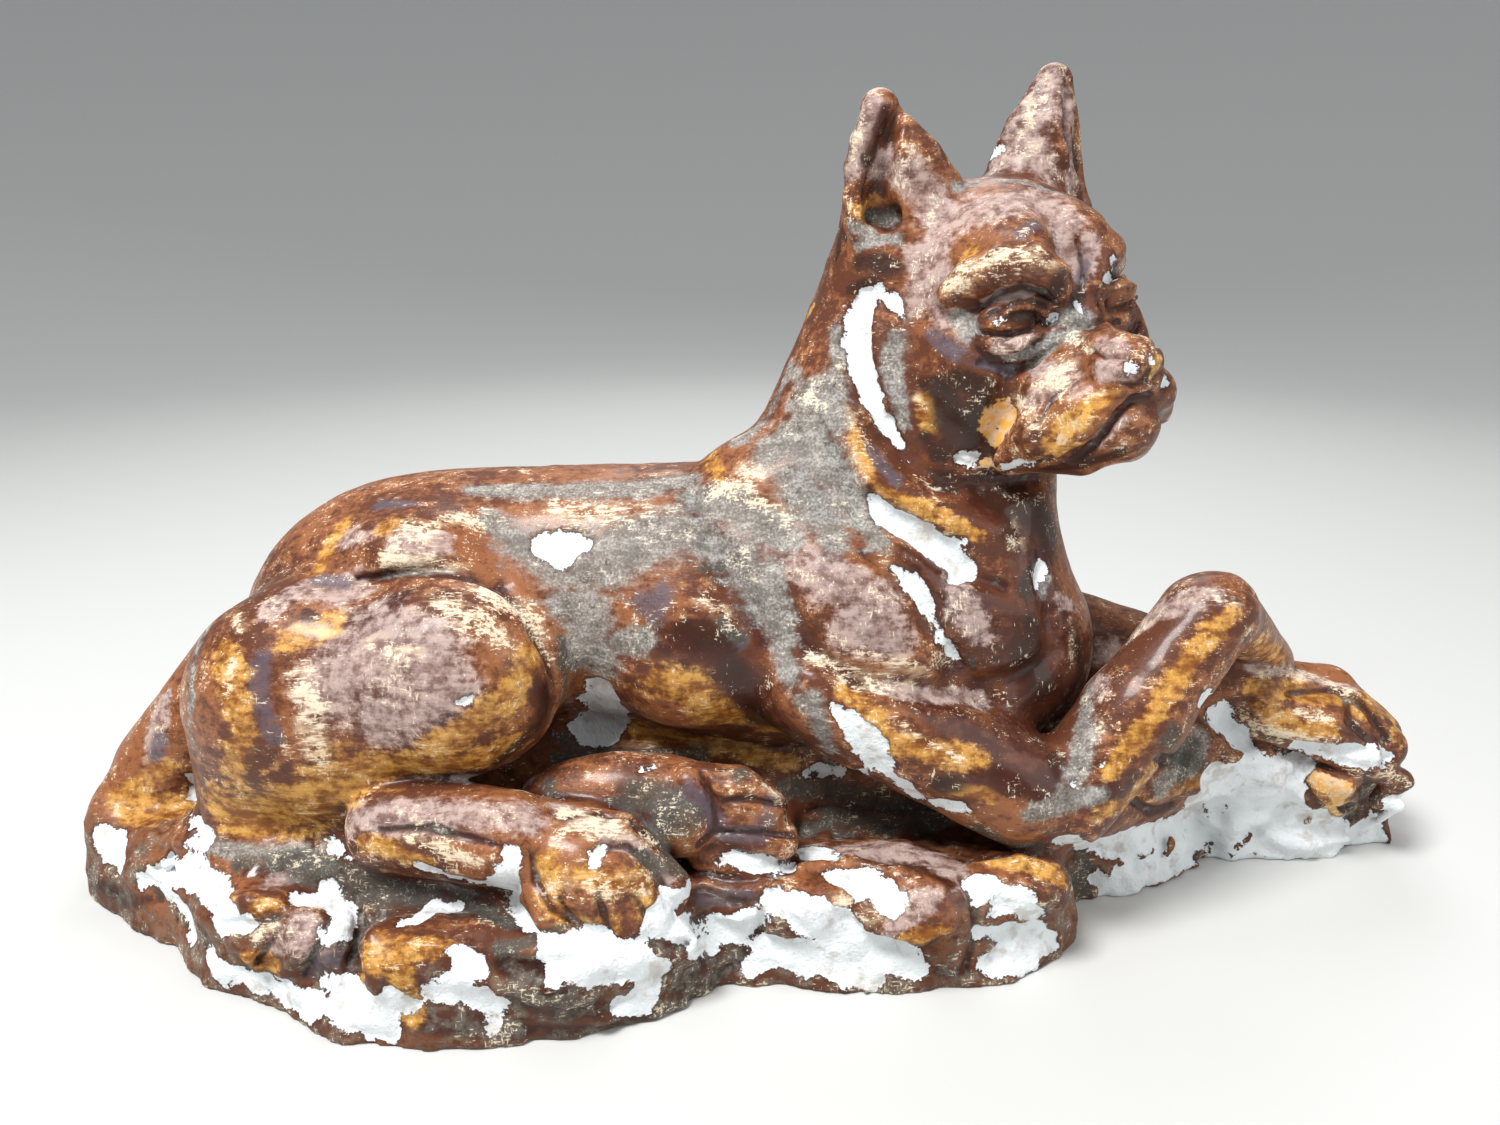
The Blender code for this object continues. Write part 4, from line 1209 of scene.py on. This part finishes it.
# Grime and painted shade: dark grey under the belly and the chest, in the recess between the fore leg and
# the rock, and along the slab.
GRIME_AND_SHADE = (
    ((1165, 740, 8), (1180, 755, 10), (1200, 765, 8)),
    ((630, 790, 12), (660, 800, 16), (690, 815, 14), (650, 830, 12)),
    ((1080, 850, 6), (1088, 875, 8)),
    ((300, 878, 10), (350, 885, 12), (400, 895, 14), (460, 910, 14), (510, 925, 10)),
    ((240, 865, 9), (300, 860, 8), (380, 875, 8)),
    ((570, 740, 10), (600, 752, 10), (650, 752, 10), (700, 755, 9), (560, 760, 10), (550, 785, 8)),
    (
        (740, 775, 8), (790, 790, 10), (830, 790, 12), (880, 800, 12),
        (930, 815, 12), (980, 830, 10), (1040, 845, 8),
    ),
    ((830, 815, 10), (880, 825, 10), (930, 830, 8), (800, 830, 8)),
    ((560, 660, 6), (562, 700, 6), (560, 640, 6)),
    ((640, 860, 10), (680, 870, 10), (620, 800, 8)),
    ((1170, 730, 8), (1195, 745, 8), (1180, 780, 6)),
    ((1075, 880, 10), (1085, 900, 10), (1080, 860, 8)),
    ((870, 215, 7), (882, 225, 6), (890, 210, 5)),
    ((700, 570, 4), (722, 565, 4)),
    ((740, 640, 6), (720, 620, 5)),
    ((968, 655, 4), (974, 665, 4)),
    ((500, 950, 8), (560, 930, 6)),
    ((320, 950, 8), (345, 940, 6)),
)
print(len(DUST), "streaks of dust and", len(GRIME_AND_SHADE), "of grime")

# %% [markdown]
# The last strokes are the deepest: wine red where the glaze ran thick, near-black for the dark eye and as
# painted shade under the jaw, the chest and the belly, in the cheek hollow, the ears and the mouth and along
# the foot of the slab, and a tan like dry clay where paint came off without baring the white plaster.

# %% Reds, darks and tans
RED = (
    ((905, 555, 10), (960, 600, 24), (1010, 640, 30), (1040, 690, 32), (1020, 740, 34), (980, 775, 26)),
    ((900, 690, 16), (950, 720, 20), (1000, 760, 22), (1050, 780, 18)),
    ((980, 505, 18), (1030, 535, 26), (1040, 590, 26), (1070, 640, 14)),
    ((660, 640, 18), (720, 660, 24), (760, 700, 24), (790, 730, 16)),
    ((520, 670, 16), (545, 700, 10)),
    ((940, 400, 16), (960, 430, 18), (1000, 390, 8)),
    ((1100, 800, 14), (1130, 780, 12)),
    ((830, 560, 14), (850, 600, 16), (880, 640, 16)),
    ((400, 600, 12), (360, 620, 14), (420, 640, 10)),
    ((480, 700, 14), (440, 720, 12)),
    ((870, 860, 14), (930, 870, 16), (960, 900, 10)),
    ((380, 1000, 14), (420, 1020, 12), (480, 1020, 10)),
    ((900, 940, 12), (940, 930, 10)),
    ((250, 870, 8), (300, 880, 8)),
    ((1290, 720, 5), (1340, 730, 5), (1380, 745, 6)),
)
# Near-black: the dark eye, and painted shade under the jaw, the chest and the belly, in the cheek hollow,
# the ears and the mouth, and along the foot of the slab.
DARK_AND_SHADE = (
    ((1012, 316, 6), (1030, 316, 9)),
    ((1000, 500, 18), (1030, 510, 20), (1050, 530, 14), (1045, 560, 12), (1025, 590, 10)),
    ((940, 480, 8), (980, 488, 10), (1020, 490, 10)),
    ((925, 385, 8), (945, 392, 14), (950, 420, 16), (965, 440, 14), (985, 385, 10), (960, 380, 12)),
    ((1040, 470, 6), (1080, 462, 8), (1120, 452, 6)),
    ((925, 440, 8), (940, 455, 8), (985, 395, 6)),
    ((690, 640, 12), (720, 640, 12), (740, 680, 14), (760, 720, 12), (800, 740, 12)),
    ((710, 625, 8), (680, 630, 8)),
    ((1000, 780, 14), (1040, 790, 12), (1060, 760, 8), (940, 785, 10)),
    ((1020, 650, 12), (1040, 690, 14), (1030, 620, 8)),
    ((1075, 640, 6), (1080, 680, 6)),
    ((860, 262, 8), (880, 262, 8), (900, 268, 6), (850, 290, 6)),
    ((1055, 290, 8), (1060, 275, 8), (1045, 300, 5)),
    ((1070, 310, 5), (1080, 295, 6)),
    ((545, 690, 8), (540, 720, 10), (500, 760, 8)),
    ((500, 960, 10), (530, 965, 14), (560, 990, 14), (520, 1000, 12), (600, 1010, 12)),
    ((430, 1030, 6), (500, 1030, 8), (580, 1030, 8), (650, 1015, 8), (710, 985, 8), (740, 960, 6)),
    ((100, 885, 8), (125, 900, 8), (150, 900, 6)),
    ((90, 870, 6), (95, 890, 6)),
    ((200, 930, 6), (215, 950, 6), (180, 905, 5)),
    ((340, 885, 8), (360, 900, 6)),
    ((700, 960, 8), (680, 985, 10), (730, 940, 6)),
    ((480, 915, 10), (540, 935, 6), (420, 900, 8)),
    ((1000, 975, 4), (1050, 965, 3), (940, 970, 8)),
    ((305, 615, 8), (315, 620, 6)),
    ((845, 240, 4), (835, 215, 4), (838, 260, 5)),
    ((880, 130, 8), (885, 110, 6), (868, 160, 8)),
    ((1072, 130, 4), (1076, 170, 4)),
    ((1120, 408, 3), (1140, 398, 3), (1090, 440, 4)),
)
TAN = (
    ((990, 418, 12), (1004, 410, 13), (1008, 426, 13), (998, 440, 8), (988, 426, 9)),
    ((1320, 780, 10), (1340, 790, 9), (1330, 822, 5)),
    ((985, 462, 4), (1000, 468, 4)),
    ((1060, 440, 5), (1090, 412, 5)),
)

print(len(RED), "red strokes,", len(DARK_AND_SHADE), "dark ones and", len(TAN), "tan ones")

# %% [markdown]
# Each list becomes one attribute: a point takes the weight of the strongest stroke that reaches it.
# The fine grooves count as dark strokes as well: partly for the glaze that gathers in them and partly as
# painted shade.

# %% Laying on the strokes
def brushed(strokes):
    """For each point of the skin, from 0 out of reach of every stroke to 1 at their middles."""
    strongest = np.zeros(len(vertices))
    for stroke in strokes:
        places, radii = on_surface(stroke)
        for start, end, first, last in zip(places, places[1:], radii, radii[1:]):
            gap = limb(start, end, first, last)[0](*vertices.T)
            strongest = np.maximum(strongest, 0.5 - gap / (first + last))
    return np.clip(strongest, 0, 1)


COLOURS = {
    "ochre": OCHRE, "cream_and_highlight": CREAM_AND_HIGHLIGHT, "mauve": MAUVE, "purple": PURPLE, "dust": DUST, "grime_and_shade": GRIME_AND_SHADE,
    "red": RED, "tan": TAN, "dark_and_shade": DARK_AND_SHADE + FACE_GROOVES + PAW_GROOVES + STONE_GROOVES,
}
for name, strokes in COLOURS.items():
    weights = brushed(strokes)
    store(name, weights)
    print(name, "covers", round(100 * float((weights > 0.5).mean()), 1), "% of the points")

# %% [markdown]
# The photograph shows one side. On the others the same colours were brushed by the same hand, in no
# order that we know, so there they come by chance. One number says how hidden a point is: the skin's
# normal there looks away from the photographer. Another says which points belong to the ground.

# %% The sides that the photograph does not show
GROUND_TOP, GROUND_FADE = 1.5, 5
store("low", np.clip((GROUND_TOP - vertices[:, 2]) / GROUND_FADE, 0, 1))
towards_camera = CAMERA_PLACE - vertices
towards_camera /= np.linalg.norm(towards_camera, axis=1)[:, None]
facing = (towards_camera * normals).sum(axis=1)
store("unseen", np.clip(0.5 - 3 * facing, 0, 1))
print(round(100 * float((facing < 0).mean())), "% of the points look away")

# %% [markdown]
# In Blender a material is a tree of nodes. To read it as sums, we wrap a socket in a small class
# whose plus, minus and times add Math nodes. One method adds every other kind of node.

# %% Writing a material as sums
finish = bpy.data.materials.new("painted_plaster")
finish.use_nodes = True
tree = finish.node_tree


class Wire:
    """The output of a node. Sums on wires add Math nodes."""

    def __init__(self, socket):
        self.socket = socket

    @staticmethod
    def node(kind, settings, inputs, output=0):
        """Adds a node of a kind, sets it up, feeds its inputs and gives one of its outputs."""
        made = tree.nodes.new("ShaderNode" + kind)
        for name, setting in settings.items():
            setattr(made, name, setting)
        for name, given in inputs.items():
            if isinstance(given, Wire):
                tree.links.new(given.socket, made.inputs[name])
            else:
                made.inputs[name].default_value = given
        return Wire(made.outputs[output])

    def maths(self, operation, first, second):
        return Wire.node("Math", {"operation": operation}, {0: first, 1: second})

    def __add__(self, other):
        return self.maths("ADD", self, other)

    def __sub__(self, other):
        return self.maths("SUBTRACT", self, other)

    def __rsub__(self, other):
        return self.maths("SUBTRACT", other, self)

    def __mul__(self, other):
        return self.maths("MULTIPLY", self, other)

    __radd__, __rmul__ = __add__, __mul__


print("the tree holds", len(tree.nodes), "nodes")

# %% [markdown]
# A few words of our own make the recipe readable: fact reads an attribute, rise is a soft
# threshold, mix lays one colour over another, and noise gives blotches or, on stretched places,
# streaks.

# %% Words for the recipe
def fact(name):
    """A number that was stored on the skin."""
    return Wire.node("Attribute", {"attribute_name": name}, {}, "Fac")


def rise(value, low, high):
    """0 where the value is below low, 1 above high, and a smooth step between."""
    return Wire.node(
        "MapRange", {"interpolation_type": "SMOOTHSTEP"},
        {"Value": value, "From Min": low, "From Max": high, "To Min": 0.0, "To Max": 1.0},
    )


def mix(share, first, second):
    """One colour over another by a share."""
    return Wire.node("Mix", {"data_type": "RGBA"}, {0: share, 6: first, 7: second}, 2)


place = Wire.node("TexCoord", {}, {}, "Object")


def stretched(x, y, z):
    """Places squeezed along the three axes, so that patterns come out as streaks."""
    return Wire.node("VectorMath", {"operation": "MULTIPLY"}, {0: place, 1: (x, y, z)})


def noise(size, detail=3.0, roughness=0.55, where=place):
    """Random values about 0.5 with blotches about as wide as size, in shares."""
    sockets = {"Vector": where, "Scale": 1 / (size * SHARE), "Detail": detail, "Roughness": roughness}
    return Wire.node("TexNoise", {}, sockets)


print("the words are ready")

# %% [markdown]
# The glaze is never one colour: it was rubbed lighter on the ridges, and in the creases and hollows a deep
# red is laid on that is partly glaze that gathered there and partly painted shade. Noises of different sizes
# break everything up. The broad one shifts the red, and the finer ones fray the edges of all the strokes, so
# that no soft round blot is left to be seen.

# %% Noises and the red ground coat
DEEP_RED = (0.050, 0.011, 0.006, 1)
MAHOGANY = (0.105, 0.033, 0.016, 1)
FOX_RED = (0.275, 0.100, 0.038, 1)
TAN_ORANGE = (0.46, 0.21, 0.085, 1)

broad, middling, small, grain = noise(34), noise(9), noise(3.0, 4.0), noise(1.1, 3.0, 0.7)
streaks = noise(2.6, 3.0, 0.65, stretched(0.3, 0.9, 1.0))
fray = (middling - 0.5) * 1.3 + (small - 0.5) * 1.2 + (streaks - 0.5) * 1.6 + (grain - 0.5) * 1.0
crease, hollow, unseen, low = fact("crease"), fact("hollow"), fact("unseen"), fact("low")

paint = mix(rise(broad + fray * 0.4, 0.36, 0.62), MAHOGANY, FOX_RED)
paint = mix(rise(fray - crease * 1.2, 0.15, 0.65) * 0.55, paint, TAN_ORANGE)
# Painted shade in part: deep red in the creases and in the wide hollows under the belly and between the
# legs, partly glaze that gathered there.
paint = mix(rise(crease * 2.5 + hollow * 0.8 + fray * 0.5, 0.05, 0.55), paint, DEEP_RED)
print("red ground coat mixed")

# %% [markdown]
# Over the ground coat come the strokes. A stroke's weight plus the frayed noise is cut at a
# threshold: that makes a torn edge. On the hidden sides the same colours lie in long patches by
# chance, and the ground is a duller brown all round.

# %% Brushed colours
BROWN_BLACK = (0.030, 0.013, 0.008, 1)
MAUVE_BROWN = (0.225, 0.138, 0.120, 1)
MAUVE_PALE = (0.51, 0.39, 0.355, 1)
PLUM = (0.095, 0.078, 0.10, 1)
GOLD_BROWN = (0.25, 0.082, 0.012, 1)
BRIGHT_GOLD = (0.70, 0.37, 0.080, 1)
GROUND_BROWN = (0.065, 0.040, 0.028, 1)
GROUND_GREY = (0.135, 0.118, 0.095, 1)
CLAY_TAN = (0.70, 0.48, 0.29, 1)

lengthwise = stretched(0.4, 0.8, 0.8)


def brush(name, patch, chance, softness=0.22):
    """The share of a colour at each point: where it was brushed, and in patches of about that many
    shares where nobody sees. The higher the chance number, the fewer the patches."""
    weight = fact(name) + unseen * rise(noise(patch, 3.0, 0.5, lengthwise), chance, chance + 0.12) * 0.6
    return rise(weight + fray * 0.5, 0.45 - softness, 0.45 + softness)


red, mauve, purple = brush("red", 62, 0.50), brush("mauve", 48, 0.47), brush("purple", 35, 0.60)
ochre, dark_and_shade, tan = brush("ochre", 41, 0.51), brush("dark_and_shade", 55, 0.58), brush("tan", 20, 0.95, 0.08)
reds = mix(rise(streaks + small, 0.85, 1.25), DEEP_RED, MAHOGANY)
mauves = mix(rise(small + grain * 0.6 + streaks, 1.05, 1.5), MAUVE_BROWN, MAUVE_PALE)
golds = rise(small * 0.7 + streaks + middling * 0.7 + grain * 0.4, 1.2, 1.65)
golds = mix(golds, GOLD_BROWN, BRIGHT_GOLD)
paint = mix(red * 0.92, paint, reds)
paint = mix(mauve * 0.8, paint, mauves)
paint = mix(purple * 0.75, paint, PLUM)
paint = mix(ochre * 0.85, paint, golds)
# Near-black over the dark strokes and the grooves: the eye's own colour, glaze gathered in the grooves, and
# painted shade.
paint = mix(dark_and_shade * 0.92, paint, mix(rise(broad, 0.4, 0.6), BROWN_BLACK, DEEP_RED))
paint = mix(tan, paint, mix(rise(small, 0.4, 0.6), CLAY_TAN, BRIGHT_GOLD))
stone = mix(rise(middling + small, 0.85, 1.15), GROUND_BROWN, GROUND_GREY)
paint = mix(low * rise(0.6 + fray * 0.9 - ochre * 0.7 - mauve * 0.5, 0.3, 0.8) * 0.8, paint, stone)
print("six colours brushed on, and the ground darkened")

# %% [markdown]
# Wear comes last. Short pale scratches run along the body, where it was rubbed most, and finer ones across
# it, and they are denser under the cream strokes. Those strokes also lay a pale veil that is partly rubbed
# wear and partly painted highlight. Dust is a grey film with grains in it, thickest in creases, and the dark
# grey low down is partly grime and partly painted shade. Tiny pits in the glaze have filled with brown.

# %% Scratches, painted highlight, dust, and grime with painted shade
PALE_SCRATCH = (0.78, 0.67, 0.50, 1)
RUBBED_CREAM_AND_HIGHLIGHT = (0.72, 0.56, 0.36, 1)
DUST_GREY = (0.165, 0.155, 0.138, 1)
DUST_PALE = (0.43, 0.42, 0.39, 1)
GRIME_AND_SHADE_GREY = (0.075, 0.068, 0.055, 1)
GRIME_AND_SHADE_PALE = (0.25, 0.235, 0.20, 1)

hairs = noise(0.7, 2.0, 0.6, stretched(0.22, 0.9, 1.1))
slanting = noise(0.6, 2.0, 0.6, stretched(0.9, 1.0, 0.2))
specks = noise(0.7, 2.0, 0.6)
# Painted highlight in part: the cream strokes lie where the light catches the top of the thigh, the hip, the
# breast and the brow.
cream_and_highlight = rise(fact("cream_and_highlight") + unseen * rise(noise(37, 3.0, 0.5, lengthwise), 0.50, 0.64) * 0.4, 0.10, 0.9)
wear = (middling - 0.5) * 0.5 + (small - 0.5) * 0.4 - crease * 0.2
veil = cream_and_highlight * rise(wear + (streaks - 0.5) * 1.6, -0.15, 0.5)
scratched = rise(hairs + wear + cream_and_highlight * 0.17 - red * 0.05, 0.65, 0.78)
scratched = scratched + rise(slanting + wear + mauve * 0.04, 0.69, 0.80) * (1 - scratched)
rubbed = rise(specks + wear + cream_and_highlight * 0.15 - red * 0.05, 0.69, 0.80)
dust = brush("dust", 70, 0.50, 0.35)
dust = rise(dust + rise(crease + hollow * 0.3 + fray * 0.3, 0.12, 0.5) * 0.6, 0.0, 1.0)
grime_and_shade = brush("grime_and_shade", 33, 0.64)
# Painted highlight in part: a pale cream veil under the cream strokes, partly rubbed wear.
paint = mix(veil * 0.8, paint, RUBBED_CREAM_AND_HIGHLIGHT)
dusts = mix(rise(specks * 0.9 + small * 0.4 + streaks * 0.7, 0.85, 1.3), DUST_GREY, DUST_PALE)
paint = mix(dust * 0.88, paint, dusts)
# Painted shade in part: the dark grey of these strokes lies where shade falls under the body.
paint = mix(grime_and_shade * 0.85, paint, mix(rise(specks + small * 0.5, 0.80, 1.0), GRIME_AND_SHADE_GREY, GRIME_AND_SHADE_PALE))
paint = mix(scratched * 0.8, paint, PALE_SCRATCH)
paint = mix(rubbed * 0.8, paint, PALE_SCRATCH)
pitted = 1.0 - specks * 0.3 - hairs * 0.4 - slanting * 0.3 - small * 0.6 + middling * 0.3
paint = mix(rise(pitted - cream_and_highlight * 0.1, 0.38, 0.62) * 0.6, paint, BROWN_BLACK)
print("worn and dusty")

# %% [markdown]
# Bare plaster is nearly white and quite dull. Its edge is sharp, so the threshold is narrow, and a
# thin brown line of broken paint runs round it. A little brown has rubbed into it here and there.

# %% Bare plaster
PLASTER = (0.80, 0.835, 0.85, 1)
STAINED_PLASTER = (0.50, 0.44, 0.38, 1)

torn = fact("bare") + (small - 0.5) * 3.2 + (grain - 0.5) * 2.4
bare = 1 - rise(torn, -0.10, 0.12)
white = mix(rise(middling + small * 0.6, 0.84, 1.0) * 0.6, PLASTER, STAINED_PLASTER)
paint = mix((1 - rise(torn, 0.2, 1.3)) * 0.45, paint, DEEP_RED)
colour = mix(bare, paint, white)
print("chips laid open")

# %% [markdown]
# The glaze shines and the plaster does not. A clear coat on top of the paint gives the sharp
# highlights of varnish, and dust takes them away. Bumps finish it: brush marks in the paint, pores
# in the plaster, and a step down at each chip's edge.

# %% Shine and relief
VARNISH_ROUGHNESS = 0.15
SHINE_UNDER_THE_VARNISH = 0.20
STEP_DEPTH = 0.7

matt = rise(dust + grime_and_shade + mauve * 0.6 + low * 0.6 + scratched * 0.5 + rubbed, 0.0, 1.1)
glossy = (1 - matt) * (1 - bare)
roughness = 0.44 + matt * 0.22 + bare * 0.25 - red * 0.08
heights = small * 0.35 + grain * 0.18 + hairs * 0.12 + bare * (grain * 0.5 + small * 0.7 - 0.9)
relief = Wire.node("Bump", {}, {"Strength": 0.9, "Distance": STEP_DEPTH * SHARE, "Height": heights})

shader = tree.nodes["Principled BSDF"]
shader.inputs["Coat Roughness"].default_value = VARNISH_ROUGHNESS
shader.inputs["Specular IOR Level"].default_value = SHINE_UNDER_THE_VARNISH
for name, wire in (
    ("Base Color", colour),
    ("Roughness", roughness),
    ("Coat Weight", glossy * (0.18 + red * 0.22)),
    ("Normal", relief),
):
    tree.links.new(wire.socket, shader.inputs[name])
skin.materials.append(finish)

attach(statue, "root")
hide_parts("dog_statue")
print("material has", len(tree.nodes), "nodes")

# %% [markdown]
# The statue stands on a plain pale floor, a disc whose rim curves up all round like a bowl, so that
# no horizon shows.

# %% The floor
FLOOR_RADIUS, FLAT_RADIUS, RIM_HEIGHT = 3.2, 1.2, 1.6
FLOOR_RINGS, FLOOR_CORNERS = 24, 64
FLOOR_GREY, FLOOR_ROUGHNESS = (0.62, 0.62, 0.60, 1), 0.7

floor_points, floor_faces = [], []
for ring in range(FLOOR_RINGS):
    radius = FLOOR_RADIUS * (ring + 1) / FLOOR_RINGS
    height = RIM_HEIGHT * (max(radius - FLAT_RADIUS, 0) / (FLOOR_RADIUS - FLAT_RADIUS)) ** 2
    for corner in range(FLOOR_CORNERS):
        angle = 2 * math.pi * corner / FLOOR_CORNERS
        floor_points.append((radius * math.cos(angle), radius * math.sin(angle), height))
        if ring:
            here = ring * FLOOR_CORNERS + corner
            beside = ring * FLOOR_CORNERS + (corner + 1) % FLOOR_CORNERS
            floor_faces.append((here - FLOOR_CORNERS, here, beside, beside - FLOOR_CORNERS))
floor_faces.append(range(FLOOR_CORNERS))
floor_mesh = bpy.data.meshes.new("floor")
floor_mesh.from_pydata(floor_points, [], floor_faces)
floor_mesh.shade_smooth()
floor = bpy.data.objects.new("floor", floor_mesh)
bpy.context.collection.objects.link(floor)
floor_paint = bpy.data.materials.new("pale_floor")
floor_paint.use_nodes = True
floor_shader = floor_paint.node_tree.nodes["Principled BSDF"]
floor_shader.inputs["Base Color"].default_value = FLOOR_GREY
floor_shader.inputs["Roughness"].default_value = FLOOR_ROUGHNESS
floor.data.materials.append(floor_paint)
print("the floor is", 2 * FLOOR_RADIUS, "m across")

# %% [markdown]
# A soft lamp hangs to the left above the camera and a weaker, wider one to the right. A third, from
# behind, draws a line of light round the back and the ears, and a pale sky fills the shadows.

# %% Lamps and sky
LAMPS = (
    ("key", (-0.40, -0.45, 1.05), 0.34, 18),
    ("fill", (0.75, -0.45, 0.55), 0.8, 3.2),
    ("back", (0.1, 0.8, 0.9), 0.7, 5),
)
LAMPS_AIM_AT = np.array((0, 0, 0.09))
SKY_BLUE, SKY_STRENGTH = (0.90, 0.95, 1.0, 1), 0.38

for name, where, size, power in LAMPS:
    lamp = bpy.data.objects.new(name, bpy.data.lights.new(name, "AREA"))
    lamp.data.size = size
    lamp.data.energy = power
    lamp.location = where
    aim = LAMPS_AIM_AT - np.array(where)
    flat = math.hypot(aim[0], aim[1])
    lamp.rotation_euler = (math.atan2(flat, -aim[2]), 0, math.atan2(-aim[0], aim[1]))
    bpy.context.collection.objects.link(lamp)

sky = bpy.data.worlds.new("sky")
sky.use_nodes = True
sky.node_tree.nodes["Background"].inputs["Color"].default_value = SKY_BLUE
sky.node_tree.nodes["Background"].inputs["Strength"].default_value = SKY_STRENGTH
bpy.context.scene.world = sky
bpy.context.scene.view_settings.view_transform = "Standard"
print(len(LAMPS), "lamps")

# %% [markdown]
# The dressed statue may not grow out of the imported model's box, so we write down both.

# %% The end
print("the scene is dressed")
